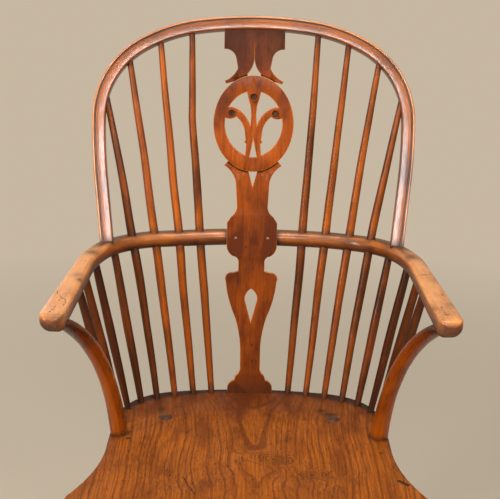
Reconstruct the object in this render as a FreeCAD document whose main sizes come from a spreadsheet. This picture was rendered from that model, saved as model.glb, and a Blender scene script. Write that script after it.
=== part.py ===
import FreeCAD, Part
import math
import os

import Sketcher
from FreeCAD import Placement, Rotation, Vector

# Double-bow Windsor armchair with a pierced wheel splat.
# Millimetres and degrees. +Z is up, the chair faces -Y, and its left and right halves mirror in X.
# The origin is on the floor, in the middle of the chair's overall width and depth.
# Plan shapes are drawn from the splat line, where the splat stands on the seat: y = 0 there,
# and every piece moves back together by back_line.

doc = FreeCAD.newDocument("wheelback_armchair")
sheet = doc.addObject("Spreadsheet::Sheet", "Sizes")

SIZES = {
    # Whole chair
    "back_line": 169.2,
    # Seat board, its height taken at the splat line
    "seat_height": 440.0,
    "seat_tilt": 1.4,
    "seat_thick": 42.0,
    "seat_rear": 17.0,
    "seat_top_round": 6.0,
    "seat_under_bevel": 11.0,
    "dish_depth": 8.0,
    "dish_rear_across": 150.0,
    "dish_rear_along": 90.0,
    "dish_thigh_across": 86.0,
    "dish_thigh_along": 125.0,
    # Arm bow, flat on its top and bottom
    "arm_top": 700.0,
    "arm_thick": 24.0,
    "arm_width": 28.0,
    "arm_back": 58.5,
    "hand_width": 34.0,
    "hand_reach": 398.0,
    "arm_round": 8.0,
    # Top bow, a flat hoop that leans back from the arm bow
    "bow_lean": 20.6,
    "bow_foot_y": 19.0,
    "bow_rise": 352.5,
    "bow_width": 21.0,
    "bow_depth": 20.0,
    "bow_round": 4.0,
    "bow_tenon": 12.0,
    "bead_inset": 4.5,
    "bead_width": 1.8,
    "bead_depth": 1.2,
    # Splat board
    "splat_rake": 9.9,
    "splat_thick": 9.0,
    "splat_mortise": 10.0,
    "wheel_height": 439.5,
    "wheel_across": 64.5,
    "wheel_along": 77.3,
    "wheel_thick": 11.0,
    "eye_width": 9.0,
    "eye_depth": 1.2,
    # Spindles, thickest about the arm bow
    "spindle_foot": 10.0,
    "spindle_belly": 14.0,
    "spindle_head": 9.4,
    "short_spindle_head": 12.0,
    "seat_socket": 26.0,
    "arm_socket": 15.0,
    "bow_socket": 11.0,
    # Arm posts
    "post_foot": 26.0,
    "post_tenon": 18.0,
    "post_bend": 337.0,
    "post_start": 12.0,
    "post_end": 68.0,
    # Legs and stretchers
    "leg_tenon": 22.0,
    "leg_belly": 36.0,
    "leg_neck": 25.0,
    "leg_ring": 38.0,
    "leg_foot": 24.0,
    "stretcher_height": 172.0,
    "stretcher_end": 14.0,
    "stretcher_belly": 26.0,
    "cross_end": 12.0,
    "cross_belly": 24.0,
    # Pegs and wedges
    "splat_peg": 5.0,
    "bow_peg": 4.0,
    "hand_peg": 5.0,
    "wedge_thick": 3.0,
    "wedge_length": 20.0,
}

for row, (alias, value) in enumerate(SIZES.items(), start=1):
    sheet.set(f"A{row}", alias)
    sheet.set(f"B{row}", str(value))
    sheet.setAlias(f"B{row}", alias)
doc.recompute()


def size(alias):
    """Read one driving dimension from the sheet."""
    return float(sheet.get(alias))


def bind(item, setting, formula):
    """Tie a property of a document object to cells of the sheet."""
    item.setExpression(setting, formula)


def place(x, y, z):
    """Turn a point measured from the splat line into the chair's own frame."""
    return Vector(x, y + size("back_line"), z)


def seat_level(y):
    """Height of the flat part of the seat at a distance y behind the splat line."""
    return size("seat_height") - y * math.tan(math.radians(size("seat_tilt")))


def towards(direction):
    """Rotation that turns the Z axis to a direction."""
    return Rotation(Vector(0, 0, 1), direction)


# Outlines are drawn as their right half, from the centre line and back to it.
# A step with one point is a line, and a step with two points is an arc through the first.

def normal(heading):
    """Outward direction of a bow where it runs at a heading."""
    angle = math.radians(heading)
    return Vector(math.sin(angle), math.cos(angle), 0)


def bow_steps(top, arcs, offset):
    """Follow tangent arcs from the centre line, a distance offset outside their middle line.

    Each arc is a radius and the heading at its end, in degrees from the X axis towards -Y.
    A negative radius curves the other way. Returns the start and the arc steps.
    """
    here = Vector(0, top, 0)
    heading = 0.0
    steps = []
    for radius, end_heading in arcs:
        centre = here - radius * normal(heading)
        middle = centre + (radius + offset) * normal((heading + end_heading) / 2)
        end = centre + (radius + offset) * normal(end_heading)
        steps.append(((middle.x, middle.y), (end.x, end.y)))
        here = centre + radius * normal(end_heading)
        heading = end_heading
    return (0, top + offset), steps


def reverse_steps(start, steps):
    """The same outline walked backwards."""
    ends = [start] + [step[-1] for step in steps]
    back = []
    for index in range(len(steps) - 1, -1, -1):
        back.append(steps[index][:-1] + (ends[index],))
    return ends[-1], back


def draw(sketch, start, steps, side=1):
    """Draw one open or closed run of lines and arcs."""
    here = Vector(side * start[0], start[1], 0)
    for step in steps:
        points = [here] + [Vector(side * x, y, 0) for x, y in step]
        here = points[-1]
        if len(points) == 2:
            sketch.addGeometry(Part.LineSegment(*points), False)
            continue
        turn = (points[1] - points[0]).cross(points[2] - points[1])
        if turn.z < 0:
            points.reverse()
        sketch.addGeometry(Part.Arc(*points), False)


def join_ends(sketch):
    """Add a coincidence wherever two pieces of the outline meet."""
    ends = []
    for index, curve in enumerate(sketch.Geometry):
        ends.append((index, 1, curve.StartPoint))
        ends.append((index, 2, curve.EndPoint))
    for number, (one, one_end, one_point) in enumerate(ends):
        for two, two_end, two_point in ends[number + 1:]:
            if one != two and one_point.distanceToPoint(two_point) < 1e-4:
                sketch.addConstraint(Sketcher.Constraint("Coincident", one, one_end, two, two_end))


def draw_mirrored(sketch, start, steps):
    """Draw a half outline and its mirror image."""
    draw(sketch, start, steps, 1)
    draw(sketch, start, steps, -1)


def new_body(label):
    body = doc.addObject("PartDesign::Body", label)
    body.Label = label
    return body


def new_sketch(body, role, label):
    """A sketch on one of its own body's origin planes."""
    sketch = body.newObject("Sketcher::SketchObject", label)
    for feature in body.Origin.OriginFeatures:
        if feature.Role == role:
            sketch.AttachmentSupport = (feature, "")
    sketch.MapMode = "FlatFace"
    return sketch


def pad(body, sketch, label, length, symmetric=False, reverse=False):
    feature = body.newObject("PartDesign::Pad", label)
    feature.Profile = sketch
    feature.SideType = "Symmetric" if symmetric else "One side"
    feature.Reversed = reverse
    bind(feature, "Length", length)
    doc.recompute()
    return feature


def pocket(body, sketch, label, length, symmetric=False, reverse=False):
    """Cut a sketch out of a body, and stop if nothing was cut."""
    before = body.Shape.Volume
    feature = body.newObject("PartDesign::Pocket", label)
    feature.Profile = sketch
    feature.SideType = "Symmetric" if symmetric else "One side"
    feature.Reversed = reverse
    bind(feature, "Length", length)
    doc.recompute()
    if body.Shape.Volume > before - 1:
        raise RuntimeError(label + " cuts nothing")
    return feature


def dress(body, kind, label, edges, setting, formula):
    """Round or bevel named edges of the body's latest feature."""
    base = body.Tip
    feature = body.newObject("PartDesign::" + kind, label)
    feature.Base = (base, edges)
    bind(feature, setting, formula)
    doc.recompute()
    return feature


def level_edges(shape, height):
    """Names of the edges that lie flat at one height."""
    names = []
    for index, edge in enumerate(shape.Edges, start=1):
        box = edge.BoundBox
        if abs(box.ZMin - height) < 1e-3 and abs(box.ZMax - height) < 1e-3:
            names.append(f"Edge{index}")
    return names


def cut(label, base, tools):
    """A piece with the pieces that are let into it taken out."""
    group = doc.addObject("Part::Compound", label + "_joints")
    group.Links = tools
    piece = doc.addObject("Part::Cut", label)
    piece.Label = label
    piece.Base = base
    piece.Tool = group
    return piece


def cylinder(label, diameter, length, foot, direction):
    """A round pin that starts at foot and runs along direction."""
    pin = doc.addObject("Part::Cylinder", label)
    bind(pin, "Radius", f"Sizes.{diameter} / 2")
    pin.Height = length
    pin.Placement = Placement(foot, towards(direction))
    return pin


def block(label, corner, extent, rotation=Rotation()):
    """A plain box used to trim ends flat."""
    box = doc.addObject("Part::Box", label)
    box.Length, box.Width, box.Height = extent
    box.Placement = Placement(corner, rotation)
    return box


# Seat: an elm board, bell-shaped in plan, dished for sitting, with a heavy bevel underneath

SEAT_ARCS = ((520, 13.9), (105, 82), (826, 90))
SEAT_WAIST_Y = -235
SEAT_FLARE_RADIUS = -450
SEAT_FLARE_HEADING = 67
SEAT_CORNER_RADIUS = 26
SEAT_FRONT_HEADING = 176


def seat_outline():
    start, steps = bow_steps(size("seat_rear"), SEAT_ARCS, 0)
    waist = Vector(steps[-1][-1][0], SEAT_WAIST_Y, 0)
    steps.append(((waist.x, waist.y),))
    centre = waist - SEAT_FLARE_RADIUS * normal(90)
    middle = centre + SEAT_FLARE_RADIUS * normal((90 + SEAT_FLARE_HEADING) / 2)
    flare = centre + SEAT_FLARE_RADIUS * normal(SEAT_FLARE_HEADING)
    steps.append(((middle.x, middle.y), (flare.x, flare.y)))
    centre = flare - SEAT_CORNER_RADIUS * normal(SEAT_FLARE_HEADING)
    middle = centre + SEAT_CORNER_RADIUS * normal((SEAT_FLARE_HEADING + SEAT_FRONT_HEADING) / 2)
    corner = centre + SEAT_CORNER_RADIUS * normal(SEAT_FRONT_HEADING)
    steps.append(((middle.x, middle.y), (corner.x, corner.y)))
    front_radius = corner.x / math.sin(math.radians(180 - SEAT_FRONT_HEADING))
    centre = corner - front_radius * normal(SEAT_FRONT_HEADING)
    middle = centre + front_radius * normal((180 + SEAT_FRONT_HEADING) / 2)
    steps.append(((middle.x, middle.y), (0, centre.y - front_radius)))
    return start, steps


seat_board = new_body("seat_board")
seat_sketch = new_sketch(seat_board, "XY_Plane", "seat_outline")
draw_mirrored(seat_sketch, *seat_outline())
join_ends(seat_sketch)
pad(seat_board, seat_sketch, "seat_slab", "Sizes.seat_thick", reverse=True)
under_edges = level_edges(seat_board.Shape, -size("seat_thick"))
dress(seat_board, "Chamfer", "seat_under_bevel_cut", under_edges, "Size", "Sizes.seat_under_bevel")
top_edges = level_edges(seat_board.Shape, 0)
dress(seat_board, "Fillet", "seat_top_rounding", top_edges, "Radius", "Sizes.seat_top_round")
seat_turn = Rotation(Vector(1, 0, 0), -size("seat_tilt"))
seat_board.Placement = Placement(place(0, 0, size("seat_height")), seat_turn)
bind(seat_board, "Placement.Base.y", "Sizes.back_line")
bind(seat_board, "Placement.Base.z", "Sizes.seat_height")

DISH_BALL_HEIGHT = 60


def dish(label, x, y, across, along):
    """A shallow hollow with a rim of the given half sizes, as the underside of a flattened ball."""
    depth = size("dish_depth")
    rim = math.sqrt(1 - ((DISH_BALL_HEIGHT - depth) / DISH_BALL_HEIGHT) ** 2)
    ball = doc.addObject("Part::Ellipsoid", label)
    ball.Radius1 = DISH_BALL_HEIGHT
    bind(ball, "Radius2", f"Sizes.{across} / {rim:.6f}")
    bind(ball, "Radius3", f"Sizes.{along} / {rim:.6f}")
    middle = place(x, y, seat_level(y)) + seat_turn.multVec(Vector(0, 0, DISH_BALL_HEIGHT - depth))
    ball.Placement = Placement(middle, seat_turn)
    return ball


dishes = [
    dish("dish_rear", 0, -175, "dish_rear_across", "dish_rear_along"),
    dish("dish_left", -94, -275, "dish_thigh_across", "dish_thigh_along"),
    dish("dish_right", 94, -275, "dish_thigh_across", "dish_thigh_along"),
]
saddle = doc.addObject("Part::MultiFuse", "saddle")
saddle.Shapes = dishes

# Arm bow: one bent stick, flat above and below, that ends in two broader hands

ARM_ARCS = ((520, 17.5), (122, 70), (300, 87))
HAND_CORNER = 15


def arm_outline():
    """Right half of the arm bow, round the outside, about the hand and back on the inside."""
    half = size("arm_width") / 2
    hand_half = size("hand_width") / 2
    start, outer = bow_steps(size("arm_back"), ARM_ARCS, half)
    inner_start, inner = bow_steps(size("arm_back"), ARM_ARCS, -half)
    bend_end = bow_steps(size("arm_back"), ARM_ARCS, 0)[1][-1][-1]
    heading = ARM_ARCS[-1][1]
    slope = math.tan(math.radians(90 - heading))
    tip_x = bend_end[0] + (size("hand_reach") + bend_end[1]) * slope
    tip_y = -size("hand_reach")
    outer_x = tip_x + hand_half
    inner_x = tip_x - hand_half
    rounding = HAND_CORNER * (1 - math.sqrt(0.5))
    outer.append(((outer_x, tip_y + HAND_CORNER),))
    outer.append(((outer_x - rounding, tip_y + rounding), (outer_x - HAND_CORNER, tip_y)))
    outer.append(((inner_x + HAND_CORNER, tip_y),))
    outer.append(((inner_x + rounding, tip_y + rounding), (inner_x, tip_y + HAND_CORNER)))
    back_start, back = reverse_steps(inner_start, inner)
    outer.append((back_start,))
    return start, outer + back


arm_stick = new_body("arm_stick")
arm_sketch = new_sketch(arm_stick, "XY_Plane", "arm_outline")
draw_mirrored(arm_sketch, *arm_outline())
join_ends(arm_sketch)
pad(arm_stick, arm_sketch, "arm_blank", "Sizes.arm_thick")
arm_edges = level_edges(arm_stick.Shape, 0) + level_edges(arm_stick.Shape, size("arm_thick"))
dress(arm_stick, "Fillet", "arm_rounding", arm_edges, "Radius", "Sizes.arm_round")
arm_stick.Placement = Placement(place(0, 0, size("arm_top") - size("arm_thick")), Rotation())
bind(arm_stick, "Placement.Base.y", "Sizes.back_line")
bind(arm_stick, "Placement.Base.z", "Sizes.arm_top - Sizes.arm_thick")

# Top bow: a bent hoop that leans back, with a scratched bead on its face and round tenons below

BOW_ARCS = ((629.5, 8.1), (249.5, 30), (135.5, 90), (869.5, 96.5))
BOW_SPARE = 12
HOOP_TENON_LENGTH = 32


def top_bow_outline(outside, inside):
    """Right half of a band of the hoop, from its top down to below its foot."""
    start, outer = bow_steps(size("bow_rise"), BOW_ARCS, outside)
    inner_start, inner = bow_steps(size("bow_rise"), BOW_ARCS, inside)
    angle = math.radians(BOW_ARCS[-1][1])
    run = (outer[-1][-1][1] + BOW_SPARE) / math.sin(angle)
    foot = Vector(outer[-1][-1][0] + run * math.cos(angle), outer[-1][-1][1] - run * math.sin(angle), 0)
    inner_foot = foot - (outside - inside) * normal(BOW_ARCS[-1][1])
    back_start, back = reverse_steps(inner_start, inner)
    steps = outer + [((foot.x, foot.y),), ((inner_foot.x, inner_foot.y),), (back_start,)] + back
    return start, steps


hoop = new_body("hoop")
hoop_sketch = new_sketch(hoop, "XY_Plane", "hoop_outline")
draw_mirrored(hoop_sketch, *top_bow_outline(size("bow_width") / 2, -size("bow_width") / 2))
join_ends(hoop_sketch)
pad(hoop, hoop_sketch, "hoop_blank", "Sizes.bow_depth", symmetric=True)
hoop_face = size("bow_depth") / 2
hoop_edges = level_edges(hoop.Shape, hoop_face) + level_edges(hoop.Shape, -hoop_face)
dress(hoop, "Fillet", "hoop_rounding", hoop_edges, "Radius", "Sizes.bow_round")
bead_sketch = new_sketch(hoop, "XY_Plane", "bead_outline")
bead_out = size("bow_width") / 2 - size("bead_inset")
draw_mirrored(bead_sketch, *top_bow_outline(bead_out, bead_out - size("bead_width")))
bead_sketch.AttachmentOffset = Placement(Vector(0, 0, hoop_face), Rotation())
bind(bead_sketch, "AttachmentOffset.Base.z", "Sizes.bow_depth / 2")
join_ends(bead_sketch)
pocket(hoop, bead_sketch, "hoop_bead", "Sizes.bead_depth")
hoop_tilt = Rotation(Vector(1, 0, 0), 90 - size("bow_lean"))
hoop.Placement = Placement(place(0, -size("bow_foot_y"), size("arm_top")), hoop_tilt)
bind(hoop, "Placement.Base.y", "Sizes.back_line - Sizes.bow_foot_y")
bind(hoop, "Placement.Base.z", "Sizes.arm_top")


def on_hoop(x, rise):
    """A point in the middle plane of the top bow."""
    return place(0, -size("bow_foot_y"), size("arm_top")) + hoop_tilt.multVec(Vector(x, rise, 0))


def hoop_foot_x():
    """Distance of the hoop's middle line from the centre where it meets the arm bow."""
    end = bow_steps(size("bow_rise"), BOW_ARCS, 0)[1][-1][-1]
    return end[0] - end[1] * math.tan(math.radians(BOW_ARCS[-1][1] - 90))


below_arm_top = block("below_arm_top", place(-350, -200, size("arm_top") - 60), (700, 400, 60))
hoop_tenons = []
for name, side in (("left", -1), ("right", 1)):
    foot = place(side * hoop_foot_x(), -size("bow_foot_y"), size("arm_top") - size("arm_thick"))
    hoop_tenons.append(cylinder("hoop_tenon_" + name, "bow_tenon", HOOP_TENON_LENGTH, foot, Vector(0, 0, 1)))
hoop_trimmed = doc.addObject("Part::Cut", "hoop_trimmed")
hoop_trimmed.Base = hoop
hoop_trimmed.Tool = below_arm_top
hoop_whole = doc.addObject("Part::MultiFuse", "hoop_whole")
hoop_whole.Shapes = [hoop_trimmed] + hoop_tenons

# Splat: one board with a pierced wheel that holds three plumes

FOOT_TO_HORNS = [
    ((41, 378),),
    ((46.5, 372),),
    ((33.5, 360), (27, 343.5)),
    ((25, 303.5),),
    ((28.5, 294.5), (34.2, 289)),
    ((40.7, 279),),
    ((40.7, 241),),
    ((36.5, 230), (30, 224.5)),
    ((23.5, 221.5), (21.2, 214.5)),
    ((21.5, 200),),
    ((31, 197.5),),
    ((40.5, 194), (41.5, 183.5)),
    ((36.5, 155.5), (26.2, 126)),
    ((18.9, 97), (16.3, 67)),
    ((16.3, 44),),
    ((17.8, 34), (23.5, 28)),
    ((25.5, 20.5),),
    ((33.5, 15.5), (36.8, 6)),
    ((36.8, 0),),
    ((30, 0),),
]
TEARDROP = [((7.6, 164), (10, 153.5)), ((5.4, 136), (0, 116))]
LOWER_EYELET = [((7, 362),), ((7, 368),), ((0, 368),)]
HEAD = [
    ((48.6, 597),),
    ((48.6, 558.5),),
    ((34.5, 553.5), (28.9, 542)),
    ((26.3, 528),),
    ((34.5, 516), (47.3, 507.5)),
    ((45, 503),),
    ((24, 509.5),),
    ((0, 508),),
]
SPADE = [((2.9, 531), (10.8, 519)), ((10, 512),), ((0, 512),)]
# Openings of the wheel, measured from its centre
PLUME_UNDER = [
    ((35.5, -33), (45.6, 9)),
    ((35, 7.6), (28.2, 11)),
    ((20, 2.5), (14.6, -10)),
    ((12.6, -26.5),),
    ((14.6, -29.5),),
    ((11.4, -33),),
    ((13, -50.8),),
]
PLUME_OVER = [
    ((4.4, 14), (5.6, 29)),
    ((9, 40),),
    ((11.5, 50.7),),
    ((27.5, 42), (39.8, 26.8)),
    ((31, 25.6), (22, 21.2)),
    ((12.2, 11), (5.5, -2.5)),
]
LEG_SLOT = [((5.8, -54),), ((0, -54),)]
EYES = ((0, 42.5), (35, 16), (-35, 16))


def raised(steps, rise):
    """Outline steps moved up the board."""
    return [tuple((x, y + rise) for x, y in step) for step in steps]


splat_board = new_body("splat_board")
stem_sketch = new_sketch(splat_board, "XY_Plane", "stem_outline")
tenon_steps = [((30, -size("splat_mortise")),), ((0, -size("splat_mortise")),)]
draw_mirrored(stem_sketch, (0, 378), FOOT_TO_HORNS + tenon_steps)
draw_mirrored(stem_sketch, (0, 171.6), TEARDROP)
draw_mirrored(stem_sketch, (0, 338), LOWER_EYELET)
join_ends(stem_sketch)
pad(splat_board, stem_sketch, "stem", "Sizes.splat_thick", symmetric=True)
wheel_sketch = new_sketch(splat_board, "XY_Plane", "wheel_outline")
wheel_centre = Vector(0, size("wheel_height"), 0)
wheel_top = wheel_centre + Vector(0, size("wheel_along"), 0)
wheel_side = wheel_centre + Vector(size("wheel_across"), 0, 0)
wheel_sketch.addGeometry(Part.Ellipse(wheel_top, wheel_side, wheel_centre), False)
pad(splat_board, wheel_sketch, "wheel", "Sizes.wheel_thick", symmetric=True)
head_sketch = new_sketch(splat_board, "XY_Plane", "head_outline")
draw_mirrored(head_sketch, (0, 597), HEAD)
draw_mirrored(head_sketch, (0, 545.6), SPADE)
join_ends(head_sketch)
pad(splat_board, head_sketch, "head", "Sizes.splat_thick", symmetric=True)
pierce_sketch = new_sketch(splat_board, "XY_Plane", "wheel_openings")
for side in (1, -1):
    draw(pierce_sketch, (13, size("wheel_height") - 50.8), raised(PLUME_UNDER, size("wheel_height")), side)
    draw(pierce_sketch, (5.5, size("wheel_height") - 2.5), raised(PLUME_OVER, size("wheel_height")), side)
draw_mirrored(pierce_sketch, (0, size("wheel_height") - 25.5), raised(LEG_SLOT, size("wheel_height")))
join_ends(pierce_sketch)
pocket(splat_board, pierce_sketch, "wheel_piercing", "Sizes.wheel_thick * 2", symmetric=True)
eye_sketch = new_sketch(splat_board, "XY_Plane", "plume_eyes")
for x, y in EYES:
    eye_place = wheel_centre + Vector(x, y, 0)
    eye = eye_sketch.addGeometry(Part.Circle(eye_place, Vector(0, 0, 1), size("eye_width") / 2))
    radius = eye_sketch.addConstraint(Sketcher.Constraint("Radius", eye, size("eye_width") / 2))
    bind(eye_sketch, f"Constraints[{radius}]", "Sizes.eye_width / 2")
eye_sketch.AttachmentOffset = Placement(Vector(0, 0, size("wheel_thick") / 2), Rotation())
bind(eye_sketch, "AttachmentOffset.Base.z", "Sizes.wheel_thick / 2")
pocket(splat_board, eye_sketch, "eye_hollows", "Sizes.eye_depth")
splat_tilt = Rotation(Vector(1, 0, 0), 90 - size("splat_rake"))
splat_board.Placement = Placement(place(0, 0, size("seat_height")), splat_tilt)
bind(splat_board, "Placement.Base.y", "Sizes.back_line")
bind(splat_board, "Placement.Base.z", "Sizes.seat_height")


def on_splat(x, rise, proud):
    """A point on the splat, a distance in front of its middle plane."""
    return place(0, 0, size("seat_height")) + splat_tilt.multVec(Vector(x, rise, proud))


# Sticks: lofted through round or oval stations set along a bent line

def stick(label, stations, ruled=False):
    """Loft a stick. A station is its centre, its heading, and the names of its width and depth."""
    rings = []
    for number, (centre, heading, width, depth) in enumerate(stations, start=1):
        ring = doc.addObject("Part::Ellipse", f"{label}_ring_{number}")
        bind(ring, "MajorRadius", f"{width} / 2")
        bind(ring, "MinorRadius", f"{depth} / 2")
        across = Vector(0, 0, 1).cross(heading)
        ring.Placement = Placement(centre, Rotation(across, heading.cross(across), heading, "ZXY"))
        rings.append(ring)
    loft = doc.addObject("Part::Loft", label)
    loft.Label = label
    loft.Sections = rings
    loft.Solid = True
    loft.Ruled = ruled
    return loft


def bent_line(foot, waist, head):
    """A gently bent line through three points, as a point and a heading at a share of its length."""
    share = (waist.z - foot.z) / (head.z - foot.z)
    sag = (waist - (foot + (head - foot) * share)) * (1 / (share * (1 - share)))

    def sample(part):
        clamped = min(max(part, 0), 1)
        heading = (head - foot) + sag * (1 - 2 * clamped)
        point = foot + (head - foot) * clamped + sag * (clamped * (1 - clamped))
        heading_unit = Vector(heading).normalize()
        return point, heading_unit

    return sample, share


# Long spindles: seat foot (x, y), crossing in the arm bow (x, y), head in the top bow (x, rise)
LONG_SPINDLES = (
    ((62.5, -2), (82, 50), (102, 341)),
    ((92, -10), (118.5, 43), (151.5, 329.5)),
    ((121.5, -21), (156, 33), (201, 300)),
    ((149.5, -36), (189.5, 14.5), (237, 238)),
)
# Short spindles: seat foot (x, y) and head in the arm bow (x, y)
SHORT_SPINDLES = (
    ((173.5, -54), (218, -12)),
    ((192.5, -83), (242.5, -66)),
    ((199.5, -122), (252, -131)),
    ((202.5, -160), (255.5, -185)),
)
FOOT_WIDTH = "Sizes.spindle_foot"
BELLY_WIDTH = "Sizes.spindle_belly"
HEAD_WIDTH = "Sizes.spindle_head"
SHORT_HEAD_WIDTH = "Sizes.short_spindle_head"
SHORT_BELLY_SHARE = 0.55
LONG_SPANS = 14
SHORT_SPANS = 8
# The upper taper starts gently and grows steeper towards the head
HEAD_TAPER = 1.3


def shaved_width(part, belly_share, head_width):
    """The width at a share of a spindle's length, swelling from foot to belly and then tapering."""
    if part <= belly_share:
        end = FOOT_WIDTH
        swell = math.sin(math.pi / 2 * part / belly_share)
    else:
        end = head_width
        swell = 1 - ((part - belly_share) / (1 - belly_share)) ** HEAD_TAPER
    return f"({end} + ({BELLY_WIDTH} - {end}) * {swell:.4f})"


def long_spindle(label, side, foot_xy, arm_xy, hoop_xy):
    foot = place(side * foot_xy[0], foot_xy[1], seat_level(foot_xy[1]))
    waist = place(side * arm_xy[0], arm_xy[1], size("arm_top") - size("arm_thick") / 2)
    head = on_hoop(side * hoop_xy[0], hoop_xy[1])
    sample, share = bent_line(foot, waist, head)
    start, heading = sample(0)
    stations = [(start - heading * size("seat_socket"), heading, FOOT_WIDTH, FOOT_WIDTH)]
    for number in range(LONG_SPANS):
        part = number / LONG_SPANS
        point, heading = sample(part)
        width = shaved_width(part, share, HEAD_WIDTH)
        stations.append((point, heading, width, width))
    end, heading = sample(1)
    stations.append((end - heading * size("bow_socket"), heading, HEAD_WIDTH, HEAD_WIDTH))
    stations.append((end, heading, HEAD_WIDTH, HEAD_WIDTH))
    return stick(label, stations, ruled=True)


def short_spindle(label, side, foot_xy, arm_xy):
    foot = place(side * foot_xy[0], foot_xy[1], seat_level(foot_xy[1]))
    head = place(side * arm_xy[0], arm_xy[1], size("arm_top") - size("arm_thick"))
    heading = Vector(head - foot).normalize()
    stations = [(foot - heading * size("seat_socket"), heading, FOOT_WIDTH, FOOT_WIDTH)]
    for number in range(SHORT_SPANS + 1):
        part = number / SHORT_SPANS
        width = shaved_width(part, SHORT_BELLY_SHARE, SHORT_HEAD_WIDTH)
        stations.append((foot + (head - foot) * part, heading, width, width))
    socket_end = head + heading * size("arm_socket")
    stations.append((socket_end, heading, SHORT_HEAD_WIDTH, SHORT_HEAD_WIDTH))
    return stick(label, stations, ruled=True)


long_spindles = []
short_spindles = []
for name, side in (("left", -1), ("right", 1)):
    for number, spots in enumerate(LONG_SPINDLES, start=1):
        long_spindles.append(long_spindle(f"long_spindle_{name}_{number}_whole", side, *spots))
    for number, spots in enumerate(SHORT_SPINDLES, start=1):
        short_spindles.append(short_spindle(f"short_spindle_{name}_{number}", side, *spots))

# Arm posts: bent sticks that rise from the seat's edge and lap under the hands

POST_FOOT = (197, -188)
POST_AIM = (271, -400)
# Share of the bend, then the width across it and the thickness in its plane, as shares of the foot's
POST_SHAPE = (
    (0, 1, 1),
    (0.25, 0.93, 0.92),
    (0.5, 0.9, 0.86),
    (0.72, 0.96, 0.76),
    (0.88, 1.06, 0.64),
    (1, 1.1, 0.56),
)
POST_TENON_DEPTH = 28
POST_TENON_OVERLAP = 6


def arm_post(label, side):
    foot = place(side * POST_FOOT[0], POST_FOOT[1], seat_level(POST_FOOT[1]))
    out = Vector(side * (POST_AIM[0] - POST_FOOT[0]), POST_AIM[1] - POST_FOOT[1], 0).normalize()
    first = math.radians(size("post_start"))
    last = math.radians(size("post_end"))
    stations = []
    for part, across, deep in POST_SHAPE:
        lean = first + (last - first) * part
        along = size("post_bend") * (math.cos(first) - math.cos(lean))
        rise = size("post_bend") * (math.sin(lean) - math.sin(first))
        heading = out * math.sin(lean) + Vector(0, 0, 1) * math.cos(lean)
        width = f"(Sizes.post_foot * {across})"
        thickness = f"(Sizes.post_foot * {deep})"
        stations.append((foot + out * along + Vector(0, 0, rise), heading, width, thickness))
    bent = stick(label + "_bent", stations)
    axis = stations[0][1]
    tenon_start = foot - axis * POST_TENON_DEPTH
    tenon_length = POST_TENON_DEPTH + POST_TENON_OVERLAP
    tenon = cylinder(label + "_tenon", "post_tenon", tenon_length, tenon_start, axis)
    whole = doc.addObject("Part::MultiFuse", label + "_whole")
    whole.Shapes = [bent, tenon]
    return whole


posts = {name: arm_post("arm_post_" + name, side) for name, side in (("left", -1), ("right", 1))}
arm_bottom_corner = place(-350, -500, size("arm_top") - size("arm_thick"))
above_arm_bottom = block("above_arm_bottom", arm_bottom_corner, (700, 400, 80))

# Legs: turned, with a swelling under the seat, a ring, a long vase and a small foot

LEG_TOPS = {"front": (163, -362), "rear": (131, -119)}
LEG_FEET = {"front": (205, -418), "rear": (186, 26)}
# Cut off below the floor once the leg is set at its splay
LEG_SPARE = 14
REAR_TENON_PROUD = 10
FRONT_TENON_SHORT = 12
# Heights up the leg from its uncut lower end
FOOT_BULGE = 26
FOOT_TOP = 46
ANKLE = 50
VASE_LOWER = 118
VASE_WIDEST = 186
VASE_UPPER = 222
NECK_LOWER = 248
RING_LOWER = 252
RING_MIDDLE = 259
RING_UPPER = 266
NECK_UPPER = 270
SWELL_WIDEST = 312


def turned(label, length, start_radius, steps):
    """A turned piece: its outline, as radius and distance along, spun about the axis."""
    body = new_body(label)
    sketch = new_sketch(body, "XZ_Plane", label + "_profile")
    draw(sketch, (0, 0), [((start_radius, 0),)] + steps + [((0, length),), ((0, 0),)])
    join_ends(sketch)
    spin = body.newObject("PartDesign::Revolution", label + "_spin")
    spin.Profile = sketch
    spin.ReferenceAxis = (sketch, ["V_Axis"])
    spin.Angle = 360
    doc.recompute()
    return body


def leg(label, row, side):
    foot = place(side * LEG_FEET[row][0], LEG_FEET[row][1], 0)
    top = place(side * LEG_TOPS[row][0], LEG_TOPS[row][1], seat_level(LEG_TOPS[row][1]))
    axis = Vector(top - foot).normalize()
    reach = foot.distanceToPoint(top)
    depth = size("seat_thick") / axis.z
    shoulder = reach + LEG_SPARE - depth
    end = reach + LEG_SPARE + (REAR_TENON_PROUD if row == "rear" else -FRONT_TENON_SHORT)
    tenon = size("leg_tenon") / 2
    belly = size("leg_belly") / 2
    neck = size("leg_neck") / 2
    ring = size("leg_ring") / 2
    sole = size("leg_foot") / 2
    steps = [
        ((sole + 3, FOOT_BULGE), (sole - 2, FOOT_TOP)),
        ((sole, ANKLE),),
        ((belly - 2, VASE_LOWER), (belly, VASE_WIDEST)),
        ((belly - 1, VASE_UPPER), (neck, NECK_LOWER)),
        ((neck, RING_LOWER),),
        ((ring, RING_MIDDLE), (neck, RING_UPPER)),
        ((neck, NECK_UPPER),),
        ((belly, SWELL_WIDEST), (neck + 2, shoulder - 18)),
        ((tenon + 1.5, shoulder - 2),),
        ((tenon, shoulder),),
        ((tenon, end),),
    ]
    turned_leg = turned(label + "_turned", end, sole, steps)
    turned_leg.Placement = Placement(foot - axis * LEG_SPARE, towards(axis))
    return turned_leg


def leg_point(row, side, height):
    """Where a leg's axis is at a height."""
    foot = place(side * LEG_FEET[row][0], LEG_FEET[row][1], 0)
    top = place(side * LEG_TOPS[row][0], LEG_TOPS[row][1], seat_level(LEG_TOPS[row][1]))
    return foot + (top - foot) * (height / top.z)


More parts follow.
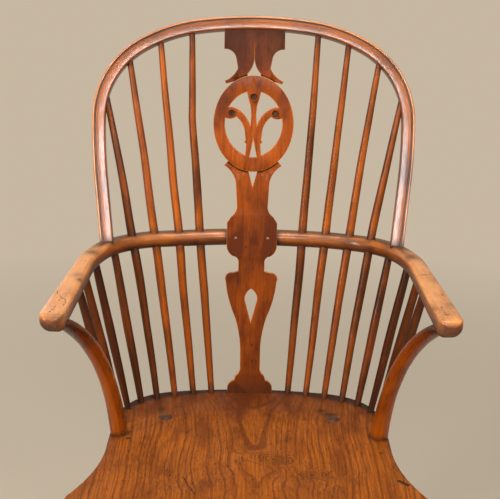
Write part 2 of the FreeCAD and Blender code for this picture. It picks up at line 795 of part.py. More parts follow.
STRETCHER_SOCKET = 12
STRETCHER_SWELL = 0.78
SIDE_SUNK = 6
CROSS_SUNK = 4


def stretcher(label, first, last, sunk, end_alias, belly_alias):
    """A stretcher between two axes, its ends stopping short of them by sunk."""
    axis = Vector(last - first).normalize()
    length = first.distanceToPoint(last) - 2 * sunk
    thin = size(end_alias) / 2
    thick = size(belly_alias) / 2
    swell = thin + (thick - thin) * STRETCHER_SWELL
    quarter = length / 4 + STRETCHER_SOCKET / 2
    steps = [
        ((thin, STRETCHER_SOCKET),),
        ((swell, quarter), (thick, length / 2)),
        ((swell, length - quarter), (thin, length - STRETCHER_SOCKET)),
        ((thin, length),),
    ]
    rail = turned(label, length, thin, steps)
    rail.Placement = Placement(first + axis * sunk, towards(axis))
    return rail


legs = {}
for row in ("front", "rear"):
    for name, side in (("left", -1), ("right", 1)):
        legs[f"leg_{row}_{name}"] = leg(f"leg_{row}_{name}", row, side)
rails = {}
middles = []
for name, side in (("left", -1), ("right", 1)):
    height = size("stretcher_height")
    front = leg_point("front", side, height)
    rear = leg_point("rear", side, height)
    label = f"side_stretcher_{name}_whole"
    rails[name] = stretcher(label, front, rear, SIDE_SUNK, "stretcher_end", "stretcher_belly")
    middles.append((front + rear) * 0.5)
cross_stretcher = stretcher("cross_stretcher", *middles, CROSS_SUNK, "cross_end", "cross_belly")
below_floor = block("below_floor", Vector(-400, -400, -40), (800, 800, 40))
seat_corner = place(-300, 0, size("seat_height")) - seat_turn.multVec(Vector(0, 300, 0))
above_seat = block("above_seat", seat_corner, (600, 300, 40), seat_turn)

# Wedges driven into the rear leg tenons from above, across the grain of the seat

WEDGE_DEPTH = 18
WEDGE_SPARE = 5

wedges = []
for name, side in (("left", -1), ("right", 1)):
    top = leg_point("rear", side, seat_level(LEG_TOPS["rear"][1]))
    down = (leg_point("rear", side, 0) - top).normalize()
    half = size("wedge_thick") / 2
    long_half = size("wedge_length") / 2
    wedge = doc.addObject("Part::Wedge", "leg_wedge_" + name)
    wedge.Xmin, wedge.Xmax = -long_half, long_half
    wedge.X2min, wedge.X2max = -long_half, long_half
    wedge.Ymin, wedge.Ymax = 0, WEDGE_DEPTH + WEDGE_SPARE
    wedge.Zmin, wedge.Zmax = -half, half
    wedge.Z2min, wedge.Z2max = -half / 3, half / 3
    upright = Rotation(Vector(1, 0, 0), down, Vector(1, 0, 0).cross(down), "YXZ")
    wedge.Placement = Placement(top - down * WEDGE_SPARE, upright)
    wedges.append(wedge)
wedge_pair = doc.addObject("Part::Compound", "wedge_pair")
wedge_pair.Links = wedges

# Pegs: two through the splat into the arm bow, two through the top bow, two in each hand

SPLAT_PEG = (26, 254)
SPLAT_PEG_LENGTH = 22
BOW_PEG = (102, 343)
HAND_PEGS = ((259, -338), (260, -362))
HAND_PEG_LENGTH = 31

splat_inward = splat_tilt.multVec(Vector(0, 0, -1))
bow_inward = hoop_tilt.multVec(Vector(0, 0, -1))
splat_peg_list = []
bow_peg_list = []
hand_peg_list = []
for name, side in (("left", -1), ("right", 1)):
    start = on_splat(side * SPLAT_PEG[0], SPLAT_PEG[1], size("splat_thick") / 2)
    splat_peg_list.append(cylinder("splat_peg_" + name, "splat_peg", SPLAT_PEG_LENGTH, start, splat_inward))
    start = on_hoop(side * BOW_PEG[0], BOW_PEG[1]) - bow_inward * hoop_face
    bow_peg_list.append(cylinder("bow_peg_" + name, "bow_peg", size("bow_depth"), start, bow_inward))
    for number, (x, y) in enumerate(HAND_PEGS, start=1):
        label = f"hand_peg_{name}_{number}"
        start = place(side * x, y, size("arm_top"))
        hand_peg_list.append(cylinder(label, "hand_peg", HAND_PEG_LENGTH, start, Vector(0, 0, -1)))
splat_pegs = doc.addObject("Part::Compound", "splat_pegs")
splat_pegs.Links = splat_peg_list
top_bow_pegs = doc.addObject("Part::Compound", "top_bow_pegs")
top_bow_pegs.Links = bow_peg_list
hand_pegs = doc.addObject("Part::Compound", "hand_pegs")
hand_pegs.Links = hand_peg_list

# Joints: each board or stick with the pieces that enter it cut out

pieces = [splat_pegs, top_bow_pegs, hand_pegs, cross_stretcher] + short_spindles
pieces.append(cut("leg_wedges", wedge_pair, [above_seat]))
sunk = long_spindles + short_spindles + [splat_board] + list(posts.values()) + list(legs.values())
pieces.append(cut("seat", seat_board, sunk + [saddle]))
arm_tools = long_spindles + short_spindles + hoop_tenons + [splat_board, splat_pegs, hand_pegs]
pieces.append(cut("arm_bow", arm_stick, arm_tools))
pieces.append(cut("top_bow", hoop_whole, long_spindles + [splat_board, top_bow_pegs]))
pieces.append(cut("splat", splat_board, [splat_pegs]))
for spindle in long_spindles:
    pieces.append(cut(spindle.Label.replace("_whole", ""), spindle, [top_bow_pegs]))
for name, whole in posts.items():
    pieces.append(cut("arm_post_" + name, whole, [above_arm_bottom, hand_pegs]))
for name, turned_leg in legs.items():
    trims = [below_floor, rails[name.split("_")[-1]]]
    if "rear" in name:
        trims += [above_seat, wedge_pair]
    pieces.append(cut(name, turned_leg, trims))
for name, rail in rails.items():
    pieces.append(cut("side_stretcher_" + name, rail, [cross_stretcher]))
doc.recompute()

# Check every object, then write the pieces

for item in doc.Objects:
    if "Invalid" in item.State or "Error" in item.State:
        raise RuntimeError(item.Label + " failed to recompute")
for piece in pieces:
    if piece.Shape.isNull() or not piece.Shape.isValid():
        raise RuntimeError(piece.Label + " has no valid shape")
os.makedirs("parts", exist_ok=True)
for piece in pieces:
    piece.Shape.exportStep(f"parts/{piece.Label}.step")
    print(piece.Label, len(piece.Shape.Solids), "solid", round(piece.Shape.Volume / 1000, 1), "cm3")
print("pieces", len(pieces))
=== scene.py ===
# %% [markdown]
# This lesson dresses an English double-bow Windsor armchair. Its pieces come from the packed
# model, which is loaded first and stays as it is. Each piece is then modelled again with softer
# edges, a carved or turned form and a wood that shows its grain, in the place of the plain one.

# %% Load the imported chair
import math

import bmesh
import bpy
from mathutils import Matrix, Vector, noise


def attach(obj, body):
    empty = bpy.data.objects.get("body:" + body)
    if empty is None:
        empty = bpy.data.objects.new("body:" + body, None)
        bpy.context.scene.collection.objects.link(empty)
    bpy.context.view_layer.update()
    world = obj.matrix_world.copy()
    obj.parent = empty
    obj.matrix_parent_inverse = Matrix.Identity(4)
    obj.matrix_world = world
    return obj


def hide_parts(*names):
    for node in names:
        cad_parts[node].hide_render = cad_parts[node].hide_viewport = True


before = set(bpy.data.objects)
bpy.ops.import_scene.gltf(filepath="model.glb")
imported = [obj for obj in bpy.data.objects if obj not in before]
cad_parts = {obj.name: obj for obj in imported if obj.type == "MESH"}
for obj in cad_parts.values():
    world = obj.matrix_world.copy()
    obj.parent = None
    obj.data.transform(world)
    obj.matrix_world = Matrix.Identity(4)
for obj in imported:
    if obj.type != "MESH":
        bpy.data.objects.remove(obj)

scene = bpy.context.scene
scene.view_settings.view_transform = "Standard"
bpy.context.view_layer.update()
print("packed nodes", len(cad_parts))

# %% [markdown]
# A chairmaker works from a few fixed lines: the seat's top, the line where the splat stands, the
# top of the arms and the lean of the back. The shapes below are drawn in millimetres from the
# splat line, as on a workshop drawing. One matrix turns the drawing into metres and moves it to
# the chair's place, so a piece is drawn where it is easy to draw and still lands where it belongs.

# %% Workshop lines
MM = 0.001
BACK_LINE = 169.2
SEAT_HEIGHT = 440
SEAT_TILT = math.radians(1.4)
ARM_TOP = 700
ARM_THICK = 24
BOW_LEAN = math.radians(20.6)
BOW_FOOT_Y = -19
SPLAT_RAKE = math.radians(9.9)

CHAIR = Matrix.Translation((0, BACK_LINE * MM, 0)) @ Matrix.Scale(MM, 4)
SEAT_PLACE = Matrix.Translation((0, 0, SEAT_HEIGHT)) @ Matrix.Rotation(-SEAT_TILT, 4, "X")
HOOP_TURN = Matrix.Rotation(math.pi / 2 - BOW_LEAN, 4, "X")
HOOP_PLACE = Matrix.Translation((0, BOW_FOOT_Y, ARM_TOP)) @ HOOP_TURN
SPLAT_TURN = Matrix.Rotation(math.pi / 2 - SPLAT_RAKE, 4, "X")
SPLAT_PLACE = Matrix.Translation((0, 0, SEAT_HEIGHT)) @ SPLAT_TURN
SIDES = (("left", -1), ("right", 1))
UP = Vector((0, 0, 1))


def seat_level(y):
    """Height of the seat's flat part at a distance behind the splat line."""
    return SEAT_HEIGHT - y * math.tan(SEAT_TILT)


print("arms stand", ARM_TOP - SEAT_HEIGHT, "mm over the seat")

# %% [markdown]
# The camera stands where the picture was taken from: a little above the chair's top, two metres
# in front of it and tipped down. A camera looks along its own -Z axis, with +Y up and +X right, so
# its matrix is built from the direction of view and a small roll.

# %% Camera
CAMERA_SPOT = (-5.32, -2151.24, 1283.91)
CAMERA_PITCH = math.radians(15.6)
CAMERA_YAW = math.radians(0.07)
CAMERA_ROLL = math.radians(0.88)
FOCAL_PIXELS = 1398.26
PICTURE_WIDTH = 500

yaw = Matrix.Rotation(-CAMERA_YAW, 4, "Z")
pitch = Matrix.Rotation(math.pi / 2 - CAMERA_PITCH, 4, "X")
roll = Matrix.Rotation(CAMERA_ROLL, 4, "Z")
camera_data = bpy.data.cameras.new("camera")
camera_data.sensor_width = 36
camera_data.lens = camera_data.sensor_width * FOCAL_PIXELS / PICTURE_WIDTH
camera = bpy.data.objects.new("camera", camera_data)
camera.matrix_world = Matrix.Translation(CHAIR @ Vector(CAMERA_SPOT)) @ (yaw @ pitch) @ roll
scene.collection.objects.link(camera)
scene.camera = camera
print("lens", round(camera_data.lens, 1), "mm")

# %% [markdown]
# Polished wood is drawn by its reflections, so every lamp is a soft box. A tall one on the left
# draws a line of light down each spindle, a broad one in front lies where the flat face of the
# top bow mirrors it, and one overhead lights the arms and the seat. A weak broad one behind the
# chair keeps its back from going black.

# %% Lamps
# Name, place, width and height, and power
LAMPS = (
    ("left_softbox", (-1.7, -1.6, 1.5), (0.4, 1.4), 34),
    ("right_softbox", (1.7, -1.5, 1.7), (0.3, 0.8), 10),
    ("front_softbox", (0, -1.9, 1.9), (1.1, 0.36), 30),
    ("overhead_softbox", (0.1, -0.2, 3.1), (1.0, 1.0), 38),
    ("rear_softbox", (-1.5, 1.9, 1.8), (2.0, 2.0), 14),
)
LAMP_AIM = Vector((0, 0.1, 0.75))

for lamp_name, spot, (width, height), power in LAMPS:
    lamp_data = bpy.data.lights.new(lamp_name, "AREA")
    lamp_data.shape = "RECTANGLE"
    lamp_data.size = width
    lamp_data.size_y = height
    lamp_data.energy = power
    lamp = bpy.data.objects.new(lamp_name, lamp_data)
    lamp.location = spot
    lamp.rotation_euler = (LAMP_AIM - lamp.location).to_track_quat("-Z", "Y").to_euler()
    scene.collection.objects.link(lamp)
print("lamps", len(LAMPS))

# %% [markdown]
# Materials are made of nodes, and two small helpers keep that short: one adds a node and fills
# its inputs, and one does a sum. A third starts an empty material.

# %% Node helpers
def node(tree, kind, settings=None, inputs=None):
    """Add a shader node, set its own settings, and fill or link its inputs."""
    item = tree.nodes.new(kind)
    for key, value in (settings or {}).items():
        setattr(item, key, value)
    for key, value in (inputs or {}).items():
        if isinstance(value, bpy.types.NodeSocket):
            tree.links.new(value, item.inputs[key])
        else:
            item.inputs[key].default_value = value
    return item


def maths(tree, operation, *values):
    inputs = dict(enumerate(values))
    return node(tree, "ShaderNodeMath", {"operation": operation}, inputs).outputs[0]


def new_material(name):
    material = bpy.data.materials.new(name)
    material.use_nodes = True
    material.node_tree.nodes.clear()
    return material, material.node_tree


print("helpers: node, maths, new_material")

# %% [markdown]
# The world lights the chair weakly from all round, but the camera, and reflections in gloss, see
# the colour of the paper instead. A brighter world would do both at once, but it would wash out
# the wood. Light Path tells the two kinds of ray apart.

# %% World
PAPER = (0.57, 0.475, 0.36, 1)
SOFT_LIGHT = (1, 0.97, 0.93, 1)
SOFT_STRENGTH = 0.2


def seen_directly(tree):
    """One for rays that see a surface straight, in gloss or through glass, and nought for light."""
    path = node(tree, "ShaderNodeLightPath").outputs
    straight = maths(tree, "MAXIMUM", path["Is Camera Ray"], path["Is Glossy Ray"])
    return maths(tree, "MAXIMUM", straight, path["Is Transmission Ray"])


world = bpy.data.worlds.new("world")
scene.world = world
world.use_nodes = True
sky = world.node_tree
sky.nodes.clear()
soft = node(sky, "ShaderNodeBackground", inputs={"Color": SOFT_LIGHT, "Strength": SOFT_STRENGTH})
paper = node(sky, "ShaderNodeBackground", inputs={"Color": PAPER, "Strength": 1})
choices = {0: seen_directly(sky), 1: soft.outputs[0], 2: paper.outputs[0]}
choice = node(sky, "ShaderNodeMixShader", inputs=choices)
node(sky, "ShaderNodeOutputWorld", inputs={"Surface": choice.outputs[0]})
print("world", len(sky.nodes), "nodes")

# %% [markdown]
# The floor is a plain pale sheet. Far from the chair it turns into an even glow of its own
# colour, so that no edge of the floor shows, and near the chair it keeps the shadow.

# %% Floor
GLOW_FROM = 0.9
GLOW_TO = 2.6
FLOOR_HALF = 40

floor_material, tree = new_material("Pale floor")
spot = node(tree, "ShaderNodeTexCoord").outputs["Object"]
distance = node(tree, "ShaderNodeVectorMath", {"operation": "LENGTH"}, {0: spot}).outputs["Value"]
reach = {"Value": distance, "From Min": GLOW_FROM, "From Max": GLOW_TO}
far = node(tree, "ShaderNodeMapRange", inputs=reach).outputs[0]
sheet = node(tree, "ShaderNodeBsdfDiffuse", inputs={"Color": PAPER})
glow = node(tree, "ShaderNodeEmission", inputs={"Color": PAPER, "Strength": 1})
fade = maths(tree, "MULTIPLY", far, seen_directly(tree))
choices = {0: fade, 1: sheet.outputs[0], 2: glow.outputs[0]}
blend = node(tree, "ShaderNodeMixShader", inputs=choices)
node(tree, "ShaderNodeOutputMaterial", inputs={"Surface": blend.outputs[0]})
bm = bmesh.new()
bmesh.ops.create_grid(bm, x_segments=1, y_segments=1, size=FLOOR_HALF)
floor_mesh = bpy.data.meshes.new("floor")
bm.to_mesh(floor_mesh)
bm.free()
floor_mesh.materials.append(floor_material)
floor = bpy.data.objects.new("floor", floor_mesh)
scene.collection.objects.link(floor)
print("floor", 2 * FLOOR_HALF, "m wide")

# %% [markdown]
# Every piece carries its own wood coordinates, painted on its points as an attribute named grain:
# across, through and along the stick, in metres. The grain of a bent bow then follows the bend,
# which it could not do on plain coordinates. Three more attributes tell the finish where hands
# have worn the wood pale or a highlight is painted, where dirt has settled or shade is painted,
# and how dark this stick is among its fellows.
# The wood itself is built in layers: yearly rings cut by the board's face, fine fibres, short
# dark pores, the uneven patina of wax, and dirt. Most layers are noise, stretched along the
# grain, so the first helpers make a noise, a range and a mix of colours.

# %% Noise, ranges and mixes
def texture_at(tree, vector, stretch, detail, roughness):
    """Noise on wood coordinates, with so many bumps to the metre in each direction."""
    spread = node(tree, "ShaderNodeMapping", inputs={"Vector": vector, "Scale": stretch}).outputs[0]
    inputs = {"Vector": spread, "Scale": 1.0, "Detail": detail, "Roughness": roughness}
    return node(tree, "ShaderNodeTexNoise", inputs=inputs).outputs["Fac"]


def span(tree, value, low, high, first=0.0, last=1.0):
    """Stretch a value from one range to another, and stop at the ends."""
    inputs = {"Value": value, "From Min": low, "From Max": high, "To Min": first, "To Max": last}
    return node(tree, "ShaderNodeMapRange", inputs=inputs).outputs[0]


def mix(tree, amount, first, second, way="MIX"):
    """Mix two colours."""
    settings = {"data_type": "RGBA", "blend_type": way}
    return node(tree, "ShaderNodeMix", settings, {0: amount, 6: first, 7: second}).outputs[2]


def attribute(tree, name, output="Fac"):
    return node(tree, "ShaderNodeAttribute", {"attribute_name": name}).outputs[output]


print("helpers: texture_at, span, mix, attribute")

# %% [markdown]
# Knots, stains, nail holes and cracks stand at places of their own. A stain is a soft spot: one
# at its middle, falling away with distance. A crack is the distance to a line of a few points, in
# coordinates that a noise has shaken, so that the line comes out ragged.

# %% Spots and cracks
CRACK_SHAKE = 0.007


def vectors(tree, operation, first, second=(0, 0, 0)):
    """Vector maths. A length or a dot product gives a number."""
    settings = {"operation": operation}
    outputs = node(tree, "ShaderNodeVectorMath", settings, {0: first, 1: second}).outputs
    return outputs["Value" if operation in ("LENGTH", "DOT_PRODUCT") else "Vector"]


def around(tree, grain, spot, size):
    """One at a spot of the wood, falling to nought about a size away."""
    away = vectors(tree, "DIVIDE", vectors(tree, "SUBTRACT", grain, spot), size)
    squared = vectors(tree, "DOT_PRODUCT", away, away)
    return maths(tree, "EXPONENT", maths(tree, "MULTIPLY", squared, -1.0))


def crack_lines(tree, grain, cracks):
    """One on ragged cracks, each a half width and a run of places across and along the face."""
    inputs = {"Vector": grain, "Scale": 330.0, "Detail": 2.0}
    shake = node(tree, "ShaderNodeTexNoise", inputs=inputs).outputs["Color"]
    shake = vectors(tree, "SUBTRACT", shake, (0.5, 0.5, 0.5))
    shake = vectors(tree, "MULTIPLY", shake, (CRACK_SHAKE, 0, CRACK_SHAKE))
    place = vectors(tree, "MULTIPLY", vectors(tree, "ADD", grain, shake), (1, 0, 1))
    lines = 0.0
    for half_width, places in cracks:
        for (x, z), (next_x, next_z) in zip(places, places[1:]):
            first = Vector((x, 0, z))
            along = Vector((next_x - x, 0, next_z - z))
            away = vectors(tree, "SUBTRACT", place, first)
            share = vectors(tree, "DOT_PRODUCT", away, along / along.length_squared)
            nearest = vectors(tree, "MULTIPLY", along, span(tree, share, 0.0, 1.0))
            gap = vectors(tree, "LENGTH", vectors(tree, "SUBTRACT", away, nearest))
            line = span(tree, gap, half_width * 0.6, half_width * 1.5, 1.0, 0.0)
            lines = maths(tree, "MAXIMUM", lines, line)
    return lines


print("cracks are shaken by", CRACK_SHAKE, "m")

# %% [markdown]
# A tree's rings are circles about its heart. A board shows them as lines, and as arches where the
# heart slants through its face. So each ring is a noise of one number, the distance to the heart,
# and a knot is a place where that distance swells. The swirls inside a knot are a noise of the
# swelling itself.

# %% Yearly rings and knots
def wood_rings(tree, grain, spacing, heart, slant, slant_end, wander, knots):
    """Rings about the tree's heart, which slants from the face up to some place along it."""
    loose = node(tree, "ShaderNodeMapping", inputs={"Vector": grain, "Scale": (9, 9, 4)}).outputs[0]
    inputs = {"Vector": loose, "Scale": 1.0, "Detail": 2}
    drift = node(tree, "ShaderNodeTexNoise", inputs=inputs).outputs["Fac"]
    drift = maths(tree, "MULTIPLY", maths(tree, "SUBTRACT", drift, 0.5), wander)
    parts = node(tree, "ShaderNodeSeparateXYZ", inputs={0: grain}).outputs
    across = maths(tree, "SUBTRACT", parts[0], heart[0])
    depth = maths(tree, "SUBTRACT", parts[1], heart[1])
    slanting = maths(tree, "SMOOTH_MAX", parts[2], slant_end, 0.05)
    depth = maths(tree, "MULTIPLY_ADD", slanting, slant, depth)
    squares = [maths(tree, "POWER", value, 2) for value in (across, depth)]
    reach = maths(tree, "SQRT", maths(tree, "ADD", *squares))
    reach = maths(tree, "ADD", reach, drift)
    for spot, size, lift in knots:
        bulge = around(tree, grain, spot, size)
        reach = maths(tree, "MULTIPLY_ADD", bulge, lift, reach)
    years = maths(tree, "DIVIDE", reach, spacing)
    inputs = {"W": years, "Scale": 1.0, "Detail": 3.0, "Roughness": 0.6}
    return node(tree, "ShaderNodeTexNoise", {"noise_dimensions": "1D"}, inputs).outputs["Fac"]


def knot_swirls(tree, grain, knots):
    """One on the dark lines that swirl inside knots."""
    swirls = 0.0
    for spot, size, _ in knots:
        bulge = around(tree, grain, spot, size)
        inputs = {"W": maths(tree, "MULTIPLY", bulge, 11.0), "Scale": 1.0, "Detail": 2.0}
        swirl = node(tree, "ShaderNodeTexNoise", {"noise_dimensions": "1D"}, inputs).outputs["Fac"]
        inside = span(tree, bulge, 0.1, 0.3)
        swirl = maths(tree, "MULTIPLY", span(tree, swirl, 0.5, 0.56), inside)
        swirls = maths(tree, "MAXIMUM", swirls, swirl)
    return swirls


print("helpers: wood_rings, knot_swirls")

# %% [markdown]
# Old dirt is brown-black wax. It is painted thick in corners, lies in specks everywhere, and
# fills marks, knots and cracks. The same colour paints shade under and beside the hands, on the
# posts just below them, and in the scribed line round the splat's wheel. Every layer is the same
# colour, so one number tells how much of it there is. That number also makes the wood duller and
# sinks it a little.

# %% Dirt and painted shade
WAX_GRIME_AND_SHADE = (0.034, 0.016, 0.009, 1)


def settled_dirt_and_shade(tree, grain, specks, knots, marks, cracks):
    """How much dirt covers the wood, and how much shade is painted on it."""
    broken = span(tree, specks, 0.3, 0.6, 0.8, 1.0)
    dirt_and_shade = maths(tree, "MULTIPLY", attribute(tree, "grime_and_shade"), broken)
    layers = [maths(tree, "MULTIPLY", span(tree, specks, 0.69, 0.74), 0.6)]
    if knots:
        layers.append(maths(tree, "MULTIPLY", knot_swirls(tree, grain, knots), 0.6))
    for spot, size, depth in marks:
        layers.append(maths(tree, "MULTIPLY", around(tree, grain, spot, size), depth))
    if cracks:
        layers.append(crack_lines(tree, grain, cracks))
    for layer in layers:
        dirt_and_shade = maths(tree, "MAXIMUM", dirt_and_shade, layer)
    return dirt_and_shade


print("dirt colour", WAX_GRIME_AND_SHADE[:3])

# %% [markdown]
# One function makes every wood of the chair, from three colours and a few numbers: early wood,
# late wood and old wax, the rings' spacing, the size of the fibres and pores in bumps to the
# metre, and how glossy the wax is. Defaults are those of a plain polished stick.

# %% A waxed wood
WAX_LIMIT = 0.93
COAT_ROUGHNESS = 0.14
RELIEF_HEIGHT = 0.0008


def wood(
    name, light, dark, stain, spacing=0.006, heart=(0.03, -0.06), slant=0.04, slant_end=-9.0,
    wander=0.02, ring_edges=(0.42, 0.66), ring_depth=0.5, streak=(420, 420, 9),
    pore=(1500, 1500, 70), pore_depth=0.45, patina=0.8, worn_and_highlit=None, gloss=(0.24, 0.42),
    sheen=0.25, coat=0.12, bump=0.35, knots=(), marks=(), cracks=(),
):
    """A waxed wood. Its colours are for early wood, late wood and old wax."""
    material, tree = new_material(name)
    grain = attribute(tree, "grain", "Vector")
    rings = wood_rings(tree, grain, spacing, heart, slant, slant_end, wander, knots)
    late = span(tree, rings, *ring_edges)
    fibres = texture_at(tree, grain, streak, 4, 0.62)
    pores = texture_at(tree, grain, pore, 2, 0.5)
    clouds = texture_at(tree, grain, (26, 26, 9), 4, 0.6)
    smudges = texture_at(tree, grain, (60, 60, 34), 3, 0.6)
    specks = texture_at(tree, grain, (210, 210, 130), 3, 0.6)

    body = mix(tree, maths(tree, "MULTIPLY", late, ring_depth), light, dark)
    body = mix(tree, span(tree, fibres, 0.38, 0.66, 0.0, 0.7), body, dark)
    waxed = maths(tree, "ADD", span(tree, clouds, 0.44, 0.66), attribute(tree, "tone"))
    waxed = maths(tree, "MULTIPLY_ADD", span(tree, smudges, 0.5, 0.7), 0.35, waxed)
    waxed = maths(tree, "MULTIPLY", waxed, patina)
    waxed = node(tree, "ShaderNodeClamp", inputs={"Value": waxed, "Max": WAX_LIMIT}).outputs[0]
    body = mix(tree, waxed, body, stain)
    # The worn colour paints both wear and painted highlights on rims, edges and spindle fronts.
    if worn_and_highlit:
        patchy = span(tree, clouds, 0.4, 0.68, 1.0, 0.25)
        bare_and_highlit = mix(tree, span(tree, fibres, 0.35, 0.7, 0.0, 0.5), worn_and_highlit, light)
        body = mix(tree, maths(tree, "MULTIPLY", attribute(tree, "wear_and_highlight"), patchy), body, bare_and_highlit)
    more_in_late = span(tree, rings, 0.35, 0.6, 0.3, 1.0)
    pitted = maths(tree, "MULTIPLY", span(tree, pores, 0.56, 0.66), more_in_late)
    body = mix(tree, maths(tree, "MULTIPLY", pitted, pore_depth), body, WAX_GRIME_AND_SHADE)
    # Dirt and painted shade share one colour and one mask.
    dirt_and_shade = settled_dirt_and_shade(tree, grain, specks, knots, marks, cracks)
    body = mix(tree, dirt_and_shade, body, WAX_GRIME_AND_SHADE)

    rough = span(tree, clouds, 0.3, 0.7, gloss[0], gloss[1])
    rough = maths(tree, "MULTIPLY_ADD", pitted, 0.15, rough)
    rough = maths(tree, "MULTIPLY_ADD", dirt_and_shade, 0.25, rough)
    relief = maths(tree, "MULTIPLY_ADD", fibres, 0.35, maths(tree, "MULTIPLY", smudges, 1.2))
    relief = maths(tree, "SUBTRACT", relief, maths(tree, "MULTIPLY", pitted, 0.8))
    relief = maths(tree, "SUBTRACT", relief, maths(tree, "MULTIPLY", dirt_and_shade, 0.6))
    inputs = {"Strength": bump, "Distance": RELIEF_HEIGHT, "Height": relief}
    bumps = node(tree, "ShaderNodeBump", inputs=inputs)
    shader = node(tree, "ShaderNodeBsdfPrincipled", inputs={
        "Base Color": body,
        "Roughness": rough,
        "Normal": bumps.outputs[0],
        "Specular IOR Level": sheen,
        "Coat Weight": coat,
        "Coat Roughness": COAT_ROUGHNESS,
    })
    node(tree, "ShaderNodeOutputMaterial", inputs={"Surface": shader.outputs[0]})
    print(name, len(tree.nodes), "nodes")
    return material


# %% [markdown]
# The seat is elm, coarse and brown, with rings that arch towards the front, two knots, the ends
# of old nails and two cracks. Its wax is dull. Places are in metres on the seat, across,
# through and along. Knots and marks have a size in each direction, and then how far the knot
# swells the rings or how dark the mark is.

# %% Elm for the seat
SEAT_KNOTS = (
    ((0.0396, 0, -0.270), (0.026, 1, 0.019), 0.052),
    ((0.0915, 0, -0.319), (0.020, 1, 0.015), 0.042),
)
SEAT_MARKS = (
    ((0.0396, 0, -0.270), (0.005, 1, 0.004), 0.5),
    ((0.0915, 0, -0.319), (0.004, 1, 0.003), 0.9),
    ((-0.1815, 0, -0.209), (0.0045, 1, 0.0045), 1.0),
    ((0.194, 0, -0.253), (0.003, 1, 0.003), 0.95),
    ((0.128, 0, -0.098), (0.014, 1, 0.009), 0.85),
    ((0.113, 0, -0.082), (0.008, 1, 0.010), 0.8),
    ((-0.138, 0, -0.085), (0.006, 1, 0.012), 0.7),
)
SEAT_CRACKS = (
    (0.0008, ((-0.093, -0.333), (-0.084, -0.370), (-0.073, -0.410))),
    (0.0032, ((0.2106, -0.353), (0.221, -0.366))),
)
elm = wood(
    "Waxed elm", (0.375, 0.096, 0.008, 1), (0.13, 0.028, 0.004, 1), (0.105, 0.021, 0.004, 1),
    spacing=0.0046, heart=(0.004, -0.045), slant=-0.22, slant_end=-0.15, wander=0.022,
    ring_edges=(0.53, 0.63), ring_depth=0.7, streak=(380, 380, 9), pore=(1000, 1000, 75),
    pore_depth=0.85, patina=0.6, gloss=(0.42, 0.6), sheen=0.08, coat=0.0, bump=0.45,
    knots=SEAT_KNOTS, marks=SEAT_MARKS, cracks=SEAT_CRACKS,
)

# %% [markdown]
# The bows, splat, spindles and legs are finer woods, redder and better polished. They differ in
# how dark the wax has gone and how bright the wood is where it is rubbed bare.

# %% Woods for bows, splat and sticks
bow_wood = wood(
    "Polished bow wood", (0.42, 0.108, 0.013, 1), (0.22, 0.052, 0.009, 1), (0.09, 0.024, 0.010, 1),
    worn_and_highlit=(0.70, 0.25, 0.06, 1), gloss=(0.17, 0.26), sheen=0.5, coat=0.25, bump=0.4,
)
SPLAT_DOTS = ((-9.2, 240), (3, 79), (3.4, 52.5))
SPLAT_MARKS = [((x * MM, 0.0045, y * MM), (0.002, 0.01, 0.0025), 0.85) for x, y in SPLAT_DOTS]
splat_wood = wood(
    "Polished splat wood",
    (0.44, 0.086, 0.005, 1), (0.24, 0.040, 0.002, 1), (0.085, 0.016, 0.003, 1),
    worn_and_highlit=(0.80, 0.25, 0.035, 1), heart=(0.02, -0.09), slant=0.03, patina=0.65,
    gloss=(0.28, 0.44), sheen=0.1, coat=0.03, bump=0.25, marks=SPLAT_MARKS,
)
spindle_wood = wood(
    "Polished spindle wood",
    (0.26, 0.044, 0.003, 1), (0.12, 0.019, 0.002, 1), (0.026, 0.006, 0.002, 1),
    worn_and_highlit=(0.58, 0.135, 0.008, 1), heart=(0.02, -0.02), gloss=(0.16, 0.26), sheen=0.16, coat=0.08,
)
leg_wood = wood(
    "Waxed leg wood", (0.36, 0.088, 0.010, 1), (0.22, 0.046, 0.005, 1), (0.060, 0.014, 0.004, 1),
    heart=(0.015, -0.03), gloss=(0.26, 0.42),
)
peg_wood = wood(
    "Dark peg wood", (0.12, 0.038, 0.012, 1), (0.07, 0.021, 0.008, 1), (0.025, 0.010, 0.006, 1),
    gloss=(0.3, 0.5), coat=0.05,
)
pale_peg_wood = wood(
    "Pale peg wood", (0.46, 0.155, 0.035, 1), (0.30, 0.085, 0.018, 1), (0.15, 0.045, 0.012, 1),
    gloss=(0.2, 0.35), coat=0.3,
)

# %% [markdown]
# Bent and tapered sticks are all made one way. A flat grid of faces is wrapped round a run of
# sections, as a sheet of veneer is wrapped round a former: each row of the grid becomes one
# section, the two edges of the sheet are merged, and the open ends are filled. The same call
# gives a bow, a spindle or a post, because only the sections differ.

# %% Wrap a sheet round sections
MERGE = 1e-5


def cap_ends(bm):
    """Fill the open ends of a skin or a cut."""
    bmesh.ops.holes_fill(bm, edges=[edge for edge in bm.edges if edge.is_boundary])


def skin(stations):
    """Wrap a grid round stations, each a matrix and the points of its section, and cap the ends."""
    sides = len(stations[0][1])
    rows = len(stations) - 1
    bm = bmesh.new()
    bmesh.ops.create_grid(bm, x_segments=sides, y_segments=rows, size=1)
    grain = bm.verts.layers.float_vector.new("grain")
    travelled = [0.0]
    for (before, _), (after, _) in zip(stations, stations[1:]):
        travelled.append(travelled[-1] + (after.translation - before.translation).length)
    for vert in bm.verts:
        row = round((vert.co.y + 1) * rows / 2)
        matrix, section = stations[row]
        u, v = section[round((vert.co.x + 1) * sides / 2) % sides]
        vert[grain] = Vector((u, v, travelled[row])) * MM
        vert.co = matrix @ Vector((u, v, 0))
    bmesh.ops.remove_doubles(bm, verts=bm.verts, dist=MERGE)
    cap_ends(bm)
    bmesh.ops.recalc_face_normals(bm, faces=bm.faces)
    return bm


print("helpers: cap_ends, skin")

